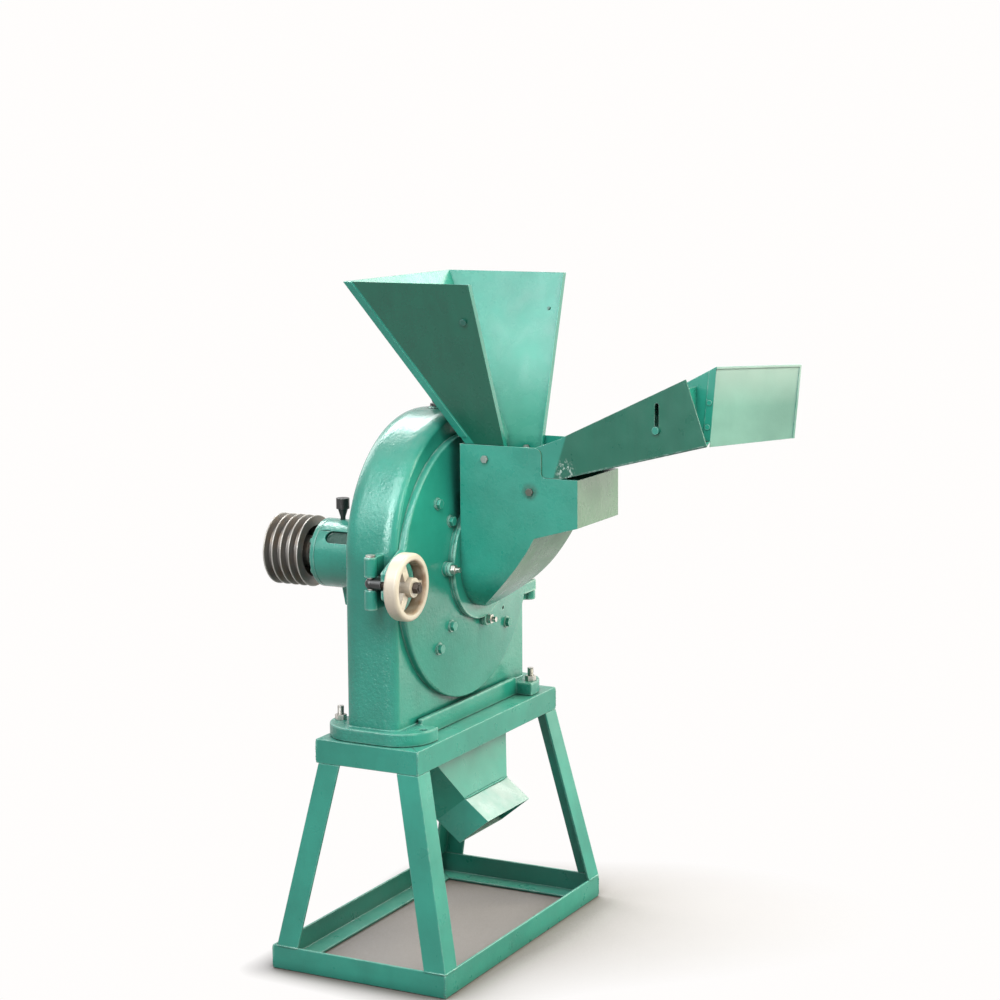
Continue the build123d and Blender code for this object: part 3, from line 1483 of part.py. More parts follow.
with BuildPart() as hopper:
    with BuildSketch(Plane.XY.offset(box_top)):
        with Locations((0, foot_middle)):
            Rectangle(2 * foot_half, foot_depth)
    with BuildSketch(Plane.XY.offset(rim_z)):
        with Locations((0, rim_middle)):
            Rectangle(2 * hopper_rim_half, rim_depth)
    loft(ruled=True)
    with BuildSketch(Plane.XY.offset(box_top - hopper_skirt)):
        with Locations((0, foot_middle)):
            Rectangle(2 * foot_half, foot_depth)
    extrude(amount=hopper_skirt)
    # Hollow
    with BuildSketch(Plane.XY.offset(box_top)):
        with Locations((0, foot_middle)):
            Rectangle(2 * (foot_half - hopper_sheet), foot_depth - 2 * hopper_sheet)
    with BuildSketch(Plane.XY.offset(rim_z)):
        with Locations((0, rim_middle)):
            Rectangle(2 * (hopper_rim_half - hopper_sheet), rim_depth - 2 * hopper_sheet)
    loft(ruled=True, mode=Mode.SUBTRACT)
    with BuildSketch(Plane.XY.offset(box_top - hopper_skirt)):
        with Locations((0, foot_middle)):
            Rectangle(2 * (foot_half - hopper_sheet), foot_depth - 2 * hopper_sheet)
    extrude(amount=hopper_skirt, mode=Mode.SUBTRACT)
    # Open front, with a narrow fold left along each side wall
    with BuildSketch(Plane.XY.offset(box_top)):
        with Locations((0, hopper_foot_front)):
            Rectangle(2 * (foot_half - hopper_sheet - hopper_fold), 4 * hopper_sheet)
    with BuildSketch(Plane.XY.offset(rim_z)):
        with Locations((0, hopper_rim_front)):
            Rectangle(2 * (hopper_rim_half - hopper_sheet - hopper_fold), 4 * hopper_sheet)
    loft(ruled=True, mode=Mode.SUBTRACT)
    with BuildSketch(Plane.XY.offset(box_top - hopper_skirt)):
        with Locations((0, hopper_foot_front)):
            Rectangle(2 * (foot_half - hopper_sheet - hopper_fold), 4 * hopper_sheet)
    extrude(amount=hopper_skirt, mode=Mode.SUBTRACT)
    # Back wall lapped over the outside of both side walls
    for side in (-1, 1):
        lap_plane = Plane(
            origin=(side * foot_half, hopper_foot_back, box_top),
            x_dir=(0, -1, 0),
            z_dir=(-side * wall_out[0], 0, wall_out[2]),
        )
        lap_up = -side * wall_slant
        lap_lean = hopper_foot_back - hopper_rim_back
        lap_share = hopper_lap_height / hopper_height
        with BuildSketch(lap_plane):
            Polygon(
                (lap_share * lap_lean, lap_share * lap_up),
                (lap_share * lap_lean + hopper_lap, lap_share * lap_up),
                (lap_lean + hopper_lap, lap_up),
                (lap_lean, lap_up),
                align=None,
            )
        extrude(amount=hopper_lap_sheet)
    with BuildSketch(Plane.YZ.offset(-foot_half)):
        with Locations((hopper_bolt_y, hopper_bolt_z)):
            Circle(box_bolt_dia / 2 + hole_play)
    extrude(amount=2 * foot_half, mode=Mode.SUBTRACT)
    for side in (-1, 1):
        with BuildSketch(screw_seat(side)):
            Circle(hopper_screw_radius)
        extrude(amount=-2 * hopper_sheet, mode=Mode.SUBTRACT)
hopper.part.label = "hopper"
export_step(hopper.part, "parts/hopper.step")

# Screws near the front edge of the hopper's side walls
with BuildPart() as hopper_screws:
    for side in (-1, 1):
        with BuildSketch(screw_seat(side)):
            Circle(hopper_screw_head)
        extrude(amount=hopper_screw_head_height)
        with BuildSketch(screw_seat(side)):
            Circle(hopper_screw_radius)
        extrude(amount=-(hopper_sheet + hopper_screw_end))
hopper_screws.part.label = "hopper_screws"
export_step(hopper_screws.part, "parts/hopper_screws.step")

# Feed tray: floor and two flared walls of one sheet, its cheeks bolted inside the feed box
tray_half = box_half - box_sheet
flare = radians(tray_flare)
slope = tan(radians(tray_floor_slope))
near_wall = Plane(
    origin=(-tray_half, tray_fold, shelf_z),
    x_dir=(-sin(flare), -cos(flare), 0),
    z_dir=(-cos(flare), sin(flare), 0),
)
far_wall = Plane(
    origin=(tray_half, tray_fold, shelf_z),
    x_dir=(sin(flare), -cos(flare), 0),
    z_dir=(-cos(flare), -sin(flare), 0),
)
floor_plane = Plane(
    origin=(0, tray_fold, shelf_z),
    x_dir=(1, 0, 0),
    z_dir=(0, slope / hypot(1, slope), 1 / hypot(1, slope)),
)


def floor_rise(run):
    """Height of the tray's underside above the shelf, along a wall."""
    return run * cos(flare) * slope


def on_floor(side, run):
    """The foot of a wall in the floor's own plane, at a run along that wall."""
    return (side * (tray_half + run * sin(flare)), -run * cos(flare) * hypot(1, slope))


# The far wall ends in a leaning fold line, where the wing plate turns outward
far_low = floor_rise(tray_far_run)
far_top = tray_near_top_rise
fold_lean = wing_fold_run / (far_top - far_low)
far_top_run = tray_far_run + wing_fold_run
far_top_slope = (far_top - tray_wall_height) / far_top_run
flange_low = far_low + tray_sheet + face_gap
turn = radians(wing_turn)
fold_start = Vector(
    tray_half + (tray_far_run + (wing_low - far_low) * fold_lean) * sin(flare) - tray_sheet * cos(flare),
    tray_fold - (tray_far_run + (wing_low - far_low) * fold_lean) * cos(flare) - tray_sheet * sin(flare),
    shelf_z + wing_low,
)
fold_rise = far_top - wing_low
fold_vector = Vector(fold_rise * fold_lean * sin(flare), -fold_rise * fold_lean * cos(flare), fold_rise)
wing_out = Vector(sin(turn), -cos(turn), 0)
wing_plane = Plane(origin=fold_start, x_dir=wing_out, z_dir=wing_out.cross(fold_vector))
wing_top = fold_vector.dot(wing_plane.y_dir)
wing_top_x = fold_vector.dot(wing_out)
rivets_at = [
    (tray_far_run + fold_lean * (rise - far_low) - wing_flange / 2, rise)
    for rise in (rivet_low_rise, rivet_high_rise)
]

with BuildPart() as tray:
    # Cheeks inside the feed box, with a tab down to the bolt
    for side in (-1, 1):
        with BuildSketch(Plane.YZ.offset(side * tray_half)):
            Polygon(
                (tray_fold - tray_sheet, shelf_z),
                (tray_fold - tray_sheet, shelf_z + tray_wall_height),
                (box_notch + cheek_top, box_top),
                (box_notch + tray_tab_back, box_top),
                (box_notch + tray_tab_back, shelf_z - tray_tab_low),
                (box_notch + tray_tab_front, shelf_z - tray_tab_low),
                (box_notch + tray_tab_front, shelf_z),
                align=None,
            )
        extrude(amount=-side * tray_sheet)
    # Level part of the floor on the shelf, then the sloping floor
    with BuildSketch(Plane.XY.offset(shelf_z)):
        with Locations((0, (tray_fold + box_notch) / 2)):
            Rectangle(2 * tray_half, box_notch - tray_fold)
    extrude(amount=tray_sheet)
    with BuildSketch(floor_plane):
        Polygon(
            on_floor(-1, 0),
            on_floor(1, 0),
            on_floor(1, tray_far_run),
            on_floor(-1, tray_near_low_run),
            align=None,
        )
    extrude(amount=tray_sheet)
    with BuildSketch(near_wall):
        Polygon(
            (0, 0),
            (tray_near_low_run, floor_rise(tray_near_low_run)),
            (tray_near_top_run, tray_near_top_rise),
            (0, tray_wall_height),
            align=None,
        )
    extrude(amount=-tray_sheet)
    with BuildSketch(far_wall):
        Polygon(
            (0, 0),
            (tray_far_run, far_low),
            (far_top_run, far_top),
            (0, tray_wall_height),
            align=None,
        )
    extrude(amount=tray_sheet)
    # Slot for the gate bolt, rivet and bolt holes
    with BuildSketch(near_wall):
        with Locations((slot_run, slot_low_rise + slot_travel / 2)):
            SlotCenterToCenter(slot_travel, slot_width, rotation=90)
    extrude(amount=-tray_sheet, mode=Mode.SUBTRACT)
    with BuildSketch(far_wall):
        with Locations(*rivets_at):
            Circle(rivet_radius)
    extrude(amount=tray_sheet, mode=Mode.SUBTRACT)
    with BuildSketch(Plane.YZ.offset(-tray_half)):
        with Locations((tray_bolt_y, tray_bolt_z)):
            Circle(box_bolt_dia / 2 + hole_play)
    extrude(amount=2 * tray_half, mode=Mode.SUBTRACT)
tray.part.label = "tray"
export_step(tray.part, "parts/tray.step")

# Wing plate: flange riveted inside the far wall, then a panel with hemmed edges
with BuildPart() as tray_wing:
    with BuildSketch(far_wall.offset(tray_sheet)):
        Polygon(
            (tray_far_run + (flange_low - far_low) * fold_lean - wing_flange, flange_low),
            (tray_far_run + (flange_low - far_low) * fold_lean + 0.75 * tray_sheet, flange_low),
            (far_top_run + 0.75 * tray_sheet, far_top),
            (far_top_run, far_top),
            (far_top_run - wing_flange, far_top - far_top_slope * wing_flange),
            align=None,
        )
        with Locations(*rivets_at):
            Circle(rivet_radius, mode=Mode.SUBTRACT)
    extrude(amount=tray_sheet)
    with BuildSketch(wing_plane):
        Polygon(
            (0, 0),
            (wing_length, wing_end_rise),
            (wing_top_x + wing_length, wing_top),
            (wing_top_x, wing_top),
            align=None,
        )
    extrude(amount=tray_sheet)
    with BuildSketch(wing_plane):
        Polygon(
            (wing_top_x, wing_top - wing_hem),
            (wing_top_x + wing_length - wing_hem, wing_top - wing_hem),
            (wing_length - wing_hem, wing_end_rise),
            (wing_length, wing_end_rise),
            (wing_top_x + wing_length, wing_top),
            (wing_top_x, wing_top),
            align=None,
        )
    extrude(amount=2 * tray_sheet)
tray_wing.part.label = "tray_wing"
export_step(tray_wing.part, "parts/tray_wing.step")

with BuildPart() as tray_rivets:
    with BuildSketch(far_wall):
        with Locations(*rivets_at):
            Circle(rivet_head)
    extrude(amount=-rivet_head_height)
    with BuildSketch(far_wall):
        with Locations(*rivets_at):
            Circle(rivet_radius)
    extrude(amount=2 * tray_sheet)
    with BuildSketch(far_wall.offset(2 * tray_sheet)):
        with Locations(*rivets_at):
            Circle(rivet_head)
    extrude(amount=rivet_head_height)
tray_rivets.part.label = "tray_rivets"
export_step(tray_rivets.part, "parts/tray_rivets.step")

# Tray gate: cross plate with a tab along each wall, held by one bolt in the near wall's slot
gate_run = slot_run - gate_tab_back
gate_y = tray_fold - gate_run * cos(flare)
gate_low = shelf_z + floor_rise(gate_run) + tray_sheet + gate_low_gap
tab_face = tray_sheet + face_gap
gate_half = tray_half + gate_run * sin(flare) - (tab_face + tray_sheet / 2) / cos(flare)

with BuildPart() as tray_gate:
    with BuildSketch(facing_front(gate_y)):
        with Locations((0, gate_low + gate_height / 2)):
            Rectangle(2 * gate_half, gate_height)
    extrude(amount=tray_sheet)
    with BuildSketch(near_wall.offset(-tab_face)):
        with Locations((slot_run + (gate_tab_front - gate_tab_back) / 2, slot_low_rise)):
            Rectangle(gate_tab_front + gate_tab_back, gate_tab_height)
        with Locations((slot_run, slot_low_rise)):
            Circle(gate_bolt_radius, mode=Mode.SUBTRACT)
    extrude(amount=-tray_sheet)
    with BuildSketch(far_wall.offset(tab_face)):
        with Locations((gate_run - gate_tab_back / 2 + tray_sheet, slot_low_rise)):
            Rectangle(gate_tab_back, gate_tab_height)
    extrude(amount=tray_sheet)
tray_gate.part.label = "tray_gate"
export_step(tray_gate.part, "parts/tray_gate.step")

with BuildPart() as gate_bolt:
    with BuildSketch(near_wall.offset(face_gap)):
        with Locations((slot_run, slot_low_rise)):
            Circle(gate_bolt_head)
    extrude(amount=gate_bolt_head_height)
    with BuildSketch(near_wall.offset(face_gap)):
        with Locations((slot_run, slot_low_rise)):
            Circle(gate_bolt_radius)
    extrude(amount=-(face_gap + tab_face + 2 * tray_sheet))
gate_bolt.part.label = "gate_bolt"
export_step(gate_bolt.part, "parts/gate_bolt.step")

# Discharge chute: flange under the casing, funnel and forward spout
throat_front_z = stand_height - throat_front_drop
throat_back_z = stand_height - throat_back_drop
throat_depth = throat_back_y - throat_front_y
throat_fall = throat_front_z - throat_back_z
throat_span = hypot(throat_depth, throat_fall)
throat_plane = Plane(
    origin=(0, (throat_front_y + throat_back_y) / 2, (throat_front_z + throat_back_z) / 2),
    x_dir=(1, 0, 0),
    z_dir=(0, throat_fall / throat_span, throat_depth / throat_span),
)
spout_length = hypot(spout_run_y, spout_run_z)
funnel_length = discharge_length + 2 * chute_sheet
funnel_width = casing_depth - 2 * casing_wall + 2 * chute_sheet

with BuildPart() as discharge_chute:
    with BuildSketch(Plane.XY.offset(stand_height)):
        with Locations((0, casing_middle)):
            Rectangle(funnel_length, funnel_width)
    with BuildSketch(throat_plane):
        Rectangle(2 * spout_half, throat_span)
    loft(ruled=True)
    with BuildSketch(throat_plane):
        Rectangle(2 * spout_half, throat_span)
    extrude(amount=spout_length, dir=(0, spout_run_y, spout_run_z))
    with BuildSketch(Plane.XY.offset(stand_height)):
        Rectangle(chute_flange_length, chute_flange_width)
    extrude(amount=-chute_flange_thickness)
    with BuildSketch(Plane.XY.offset(stand_height)):
        with Locations((0, casing_middle)):
            Rectangle(funnel_length - 2 * chute_sheet, funnel_width - 2 * chute_sheet)
    with BuildSketch(throat_plane):
        Rectangle(2 * (spout_half - chute_sheet), throat_span - 2 * chute_sheet)
    loft(ruled=True, mode=Mode.SUBTRACT)
    with BuildSketch(throat_plane):
        Rectangle(2 * (spout_half - chute_sheet), throat_span - 2 * chute_sheet)
    extrude(amount=spout_length, dir=(0, spout_run_y, spout_run_z), mode=Mode.SUBTRACT)
    with BuildSketch(Plane.XY.offset(stand_height)):
        with Locations(*chute_bolts_at):
            Circle(chute_bolt_dia / 2 + hole_play)
    extrude(amount=-chute_flange_thickness, mode=Mode.SUBTRACT)
discharge_chute.part.label = "discharge_chute"
export_step(discharge_chute.part, "parts/discharge_chute.step")

with BuildPart() as chute_bolts:
    with BuildSketch(Plane.XY.offset(stand_height - chute_flange_thickness)):
        with Locations(*chute_bolts_at):
            RegularPolygon(0.8 * chute_bolt_dia, 6, major_radius=False)
    extrude(amount=-chute_bolt_head)
    with BuildSketch(Plane.XY.offset(stand_height - chute_flange_thickness)):
        with Locations(*chute_bolts_at):
            Circle(chute_bolt_dia / 2)
    extrude(amount=chute_flange_thickness + 0.8 * chute_bolt_length)
chute_bolts.part.label = "chute_bolts"
export_step(chute_bolts.part, "parts/chute_bolts.step")

# Door clamp: swivel nut and pin on the casing, washer, screw and handwheel on the door
clamp_axis = Axis((clamp_x, 0, clamp_z), (0, 1, 0))
clamp_plane = Plane(origin=(clamp_x, 0, clamp_z), x_dir=(0, 1, 0), z_dir=(1, 0, 0))
screw_tip = swivel_neck_end + clamp_screw_reach
socket_end = screw_tip + socket_room
washer_front = door_front - washer_thickness
wheel_back = washer_front
wheel_front = wheel_back - wheel_hub_depth
wheel_middle = wheel_back - wheel_hub_depth / 2

with BuildPart() as swivel_nut:
    with BuildSketch(clamp_plane):
        with Locations((swivel_y, 0)):
            Circle(ball_radius)
        Rectangle(
            4 * ball_radius - 2 * swivel_y,
            2 * ball_radius,
            align=(Align.CENTER, Align.MAX),
            mode=Mode.SUBTRACT,
        )
    revolve(axis=clamp_axis)
    with BuildSketch(facing_front(swivel_y)):
        with Locations((clamp_x, clamp_z)):
            Circle(swivel_neck_radius)
    extrude(amount=swivel_y - swivel_neck_end)
    with BuildSketch(facing_front(socket_end)):
        with Locations((clamp_x, clamp_z)):
            Circle(clamp_slot)
    extrude(amount=socket_end - swivel_neck_end, mode=Mode.SUBTRACT)
    with BuildSketch(Plane.XY.offset(clamp_z - ball_radius)):
        with Locations((clamp_x, swivel_y)):
            Circle(swivel_pin_radius)
    extrude(amount=2 * ball_radius, mode=Mode.SUBTRACT)
swivel_nut.part.label = "swivel_nut"
export_step(swivel_nut.part, "parts/swivel_nut.step")

with BuildPart() as swivel_pin:
    with BuildSketch(Plane.XY.offset(clamp_z - lug_gap_half - clamp_lug_height)):
        with Locations((clamp_x, swivel_y)):
            Circle(swivel_pin_radius)
    extrude(amount=2 * (lug_gap_half + clamp_lug_height))
    with BuildSketch(Plane.XY.offset(clamp_z + lug_gap_half + clamp_lug_height)):
        with Locations((clamp_x, swivel_y)):
            Circle(swivel_pin_head_radius)
    extrude(amount=swivel_pin_head)
swivel_pin.part.label = "swivel_pin"
export_step(swivel_pin.part, "parts/swivel_pin.step")

with BuildPart() as clamp_washer:
    with BuildSketch(facing_front(door_front)):
        with Locations((clamp_x, clamp_z)):
            Circle(washer_radius)
            Circle(clamp_screw_radius + face_gap, mode=Mode.SUBTRACT)
    extrude(amount=washer_thickness)
clamp_washer.part.label = "clamp_washer"
export_step(clamp_washer.part, "parts/clamp_washer.step")

with BuildPart() as clamp_screw:
    with BuildSketch(facing_front(screw_tip)):
        with Locations((clamp_x, clamp_z)):
            Circle(clamp_screw_radius)
    extrude(amount=screw_tip - wheel_back)
    with BuildSketch(facing_front(wheel_back)):
        with Locations((clamp_x, clamp_z)):
            Circle(wheel_seat_radius)
    extrude(amount=wheel_hub_depth + wheel_nut_height + wheel_nut_end)
clamp_screw.part.label = "clamp_screw"
export_step(clamp_screw.part, "parts/clamp_screw.step")

with BuildPart() as handwheel:
    with BuildSketch(clamp_plane):
        with Locations((wheel_middle, wheel_radius - wheel_rim_width / 2)):
            RectangleRounded(wheel_rim_depth, wheel_rim_width, wheel_rim_round)
    revolve(axis=clamp_axis)
    with BuildSketch(facing_front(wheel_back)):
        with Locations((clamp_x, clamp_z)):
            Circle(wheel_hub_radius)
    extrude(amount=wheel_hub_depth)
    with BuildSketch(facing_front(wheel_middle + spoke_depth / 2)):
        with Locations((clamp_x, clamp_z)):
            with PolarLocations(wheel_radius / 2, 3, -5):
                Rectangle(wheel_radius - wheel_rim_width / 2, spoke_width)
    extrude(amount=spoke_depth)
    with BuildSketch(facing_front(wheel_back)):
        with Locations((clamp_x, clamp_z)):
            Circle(wheel_seat_radius)
    extrude(amount=wheel_hub_depth, mode=Mode.SUBTRACT)
handwheel.part.label = "handwheel"
export_step(handwheel.part, "parts/handwheel.step")

with BuildPart() as handwheel_nut:
    with BuildSketch(facing_front(wheel_front)):
        with Locations((clamp_x, clamp_z)):
            RegularPolygon(wheel_nut_flats / 2, 6, major_radius=False)
            Circle(wheel_seat_radius, mode=Mode.SUBTRACT)
    extrude(amount=wheel_nut_height)
handwheel_nut.part.label = "handwheel_nut"
export_step(handwheel_nut.part, "parts/handwheel_nut.step")
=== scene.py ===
"""Looks of the flour mill: enamel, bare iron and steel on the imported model, weld beads, light and camera."""

import json
import math
import random

import bmesh
import bpy
from mathutils import Matrix, Vector


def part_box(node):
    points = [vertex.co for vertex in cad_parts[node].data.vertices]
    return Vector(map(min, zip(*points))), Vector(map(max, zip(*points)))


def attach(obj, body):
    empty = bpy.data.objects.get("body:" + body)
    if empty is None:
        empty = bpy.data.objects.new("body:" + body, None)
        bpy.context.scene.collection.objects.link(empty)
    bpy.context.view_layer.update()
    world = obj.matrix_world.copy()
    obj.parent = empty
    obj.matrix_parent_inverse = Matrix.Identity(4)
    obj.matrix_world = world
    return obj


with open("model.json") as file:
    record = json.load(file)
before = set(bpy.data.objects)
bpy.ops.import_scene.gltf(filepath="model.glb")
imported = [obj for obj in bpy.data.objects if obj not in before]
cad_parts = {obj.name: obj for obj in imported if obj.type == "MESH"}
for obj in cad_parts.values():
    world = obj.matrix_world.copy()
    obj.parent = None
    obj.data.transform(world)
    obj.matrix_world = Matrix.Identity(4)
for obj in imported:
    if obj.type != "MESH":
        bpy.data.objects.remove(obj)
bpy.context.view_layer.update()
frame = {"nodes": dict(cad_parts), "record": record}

scene = bpy.context.scene
nodes = frame["nodes"]
X, Y, Z = range(3)

# Places on the mill, in metres: the shaft, the handwheel, the wing's facing and the bearing tube
SHAFT = (0.0, 0.0, 0.732)
WHEEL = (-0.292, -0.094, 0.742)
WING_NORMAL = (-0.755, -0.656, 0.0)
TUBE_RADIUS = 0.0670
NOTCH = (-0.086, -0.309, 0.937)
FLAT_XZ = (1, 0, 1)
FLAT_YZ = (0, 1, 1)
FLAT_XY = (1, 1, 0)
WHITE = (1.0, 0.985, 0.975, 1.0)

# Camera, as fitted to the edges of the stand, the casing and the hopper
TARGET = Vector((0.0882, -0.0852, 0.8443))
AZIMUTH, ELEVATION, ROLL = math.radians(-62.53), math.radians(8.885), math.radians(-0.32)
DISTANCE = 4.5029
LENS = 84.58


def towards(azimuth, elevation):
    """The direction from the object to a viewer or a lamp, in the same angles as the camera's."""
    level = math.cos(elevation)
    return Vector((math.sin(azimuth) * level, -math.cos(azimuth) * level, math.sin(elevation)))


def turned_to(back, roll=0.0):
    """The rotation of a camera or a lamp whose back points along the given direction."""
    right = (-back).cross(Vector((0, 0, 1))).normalized()
    up = right.cross(-back)
    turned = math.cos(roll) * right + math.sin(roll) * up
    upright = -math.sin(roll) * right + math.cos(roll) * up
    return Matrix((turned, upright, back)).transposed().to_4x4()


camera = bpy.data.objects.new("camera", bpy.data.cameras.new("camera"))
scene.collection.objects.link(camera)
camera.data.lens = LENS
camera.data.sensor_width = 36.0
camera.data.clip_end = 100.0
view_back = towards(AZIMUTH, ELEVATION)
camera.matrix_world = Matrix.Translation(TARGET + view_back * DISTANCE) @ turned_to(view_back, ROLL)
scene.camera = camera
scene.view_settings.view_transform = "Standard"


# Materials
class Recipe:
    """Adds nodes to one material and links them."""

    def __init__(self, name, **sockets):
        self.material = bpy.data.materials.new(name)
        self.material.use_nodes = True
        self.tree = self.material.node_tree
        self.shader = self.tree.nodes["Principled BSDF"]
        given = self.add("ShaderNodeTexCoord").outputs
        self.place = given["Object"]
        self.facing = given["Normal"]
        for socket, value in sockets.items():
            self.shader.inputs[socket.replace("_", " ").title()].default_value = value

    def add(self, kind, values=None, **settings):
        node = self.tree.nodes.new(kind)
        for key, value in settings.items():
            setattr(node, key, value)
        for key, value in (values or {}).items():
            self.feed(node.inputs[key], value)
        return node

    def feed(self, socket, value):
        if isinstance(value, bpy.types.NodeSocket):
            self.tree.links.new(value, socket)
        else:
            socket.default_value = value

    def math(self, operation, a, b=0.0):
        return self.add("ShaderNodeMath", {0: a, 1: b}, operation=operation).outputs[0]

    def vector(self, operation, a, b=(0, 0, 0), out="Vector"):
        return self.add("ShaderNodeVectorMath", {0: a, 1: b}, operation=operation).outputs[out]

    def stretch(self, x, y, z):
        return self.add("ShaderNodeMapping", {"Vector": self.place, "Scale": (x, y, z)}).outputs[0]

    def part(self, vector, axis):
        return self.add("ShaderNodeSeparateXYZ", {0: vector}).outputs[axis]

    def noise(self, scale, detail=3.0, roughness=0.55, place=None):
        values = {"Vector": place or self.place, "Scale": scale, "Detail": detail, "Roughness": roughness}
        return self.add("ShaderNodeTexNoise", values).outputs["Fac"]

    def cells(self, scale):
        return self.add("ShaderNodeTexVoronoi", {"Vector": self.place, "Scale": scale}).outputs["Distance"]

    def between(self, value, low, high, out_low=0.0, out_high=1.0):
        values = {"Value": value, "From Min": low, "From Max": high, "To Min": out_low, "To Max": out_high}
        return self.add("ShaderNodeMapRange", values).outputs[0]

    def mix(self, share, a, b):
        node = self.add("ShaderNodeMix", data_type="RGBA")
        for key, value in ((0, share), (6, a), (7, b)):
            if key and not isinstance(value, bpy.types.NodeSocket):
                value = (*value, 1.0)
            self.feed(node.inputs[key], value)
        return node.outputs[2]

    def edges(self, radius):
        """1 along edges and 0 on open faces, over about the given radius."""
        rounded = self.add("ShaderNodeBevel", {"Radius": radius}, samples=6).outputs[0]
        plain = self.add("ShaderNodeNewGeometry").outputs["Normal"]
        return self.between(self.vector("DOT_PRODUCT", rounded, plain, "Value"), 0.995, 0.80)

    def corners(self, distance):
        """1 deep in corners and gaps and 0 on open faces."""
        node = self.add("ShaderNodeAmbientOcclusion", {"Distance": distance}, samples=8)
        return self.between(node.outputs["AO"], 0.72, 0.20)

    def ridges(self, distance):
        """1 along the outer edges of a thick piece and 0 on its open faces."""
        settings = {"samples": 8, "inside": True, "only_local": True}
        node = self.add("ShaderNodeAmbientOcclusion", {"Distance": distance}, **settings)
        return self.between(node.outputs["AO"], 0.90, 0.55)

    def bump(self, *layers):
        """Stacks (height, strength, distance) layers and feeds the shader's normal."""
        normal = None
        for height, strength, distance in layers:
            values = {"Height": height, "Strength": strength, "Distance": distance}
            if normal:
                values["Normal"] = normal
            normal = self.add("ShaderNodeBump", values).outputs[0]
        self.feed(self.shader.inputs["Normal"], normal)

    def finish(self, colour, roughness):
        self.feed(self.shader.inputs["Base Color"], colour)
        self.feed(self.shader.inputs["Roughness"], roughness)
        return self.material

    def out_from(self, axis_point):
        """The vector from an axis that runs from front to back, for turned pieces."""
        return self.vector("MULTIPLY", self.vector("SUBTRACT", self.place, axis_point), FLAT_XZ)


SPECK = (0.500, 0.580, 0.520)
DUST = (0.660, 0.680, 0.610)
RUST = (0.200, 0.105, 0.050)
IRON_BLOTCH = (0.240, 0.165, 0.110)
THREAD_PITCH = 0.002


def shade(colour, times, plus=0.0):
    return tuple(min(1.0, times * c + plus) for c in colour)


def enamel(name, colour, cast=0.0, gloss=0.30, edge_radius=0.0025, dust=0.10, over=(), coarse_below=None):
    """Gloss enamel: cloudy colour, runs, pale worn edges with a painted highlight, orange peel, flour dust,
    dirt with painted shade in corners and gaps, and cast skin.

    Each function in over takes the recipe and gives (share, colour) of another paint, a stain or wear, or of
    painted light and shade.
    coarse_below gives two heights, and the cast skin goes from coarse to plain between them,
    apart from the front, which is dressed smooth.
    """
    r = Recipe(name)
    deep = shade(colour, 0.80)
    light = shade(colour, 1.14, 0.004)
    # worn is the colour of the pale edges: worn paint, with a painted highlight along them.
    worn = shade(colour, 0.50, 0.42)
    cloud = r.noise(7.0, 4.0)
    runs = r.noise(9.0, 2.0, 0.5, r.stretch(4.0, 4.0, 0.5))
    colour_now = r.mix(r.between(cloud, 0.32, 0.70), deep, light)
    colour_now = r.mix(r.between(runs, 0.52, 0.78, 0.0, 0.30), colour_now, deep)
    for laid in over:
        share, second = laid(r)
        streaked = r.mix(r.between(runs, 0.30, 0.72), shade(second, 0.84), second)
        colour_now = r.mix(share, colour_now, streaked)
    specks = r.between(r.noise(420.0, 2.0), 0.70, 0.78, 0.0, 0.10)
    colour_now = r.mix(specks, colour_now, SPECK)
    # Pale edges in patches: wear, and a painted highlight standing in for the gloss on them.
    scuffs = r.between(r.noise(60.0, 6.0, 0.7), 0.44, 0.60)
    edge_wear_and_highlight = r.math("MULTIPLY", r.edges(edge_radius), r.between(scuffs, 0.0, 1.0, 0.12, 1.0))
    colour_now = r.mix(r.math("MULTIPLY", edge_wear_and_highlight, 0.80), colour_now, worn)
    level = r.between(r.part(r.facing, Z), 0.30, 0.80)
    settled = r.between(r.noise(18.0, 6.0, 0.65), 0.36, 0.66, 0.25 * dust, dust)
    colour_now = r.mix(r.math("MULTIPLY", level, settled), colour_now, DUST)
    # Darker in corners and gaps: dirt, and painted shade where the light does not reach.
    grime_and_painted_shade = r.math("MULTIPLY", r.corners(0.04), r.between(cloud, 0.30, 0.60, 0.70, 0.95))
    colour_now = r.mix(grime_and_painted_shade, colour_now, shade(colour, 0.10, 0.004))
    rough = r.between(r.noise(26.0, 5.0), 0.30, 0.72, gloss - 0.05, gloss + 0.10)
    layers = [(r.noise(11.0, 2.0), 0.22, 0.004), (r.noise(330.0, 2.0, 0.5), 0.16, 0.0006)]
    if cast:
        grit = r.noise(150.0, 5.0, 0.62)
        if coarse_below:
            coarse = r.between(r.part(r.place, Z), *coarse_below, 2.4, 0.8)
            grit = r.math("MULTIPLY", grit, r.between(r.part(r.facing, Y), -0.9, -0.5, 0.6, coarse))
        pits = r.between(r.cells(95.0), 0.0, 0.30)
        layers += [(grit, 0.45 * cast, 0.0016), (pits, 0.16 * cast, 0.0009)]
    r.bump(*layers)
    return r.finish(colour_now, rough)


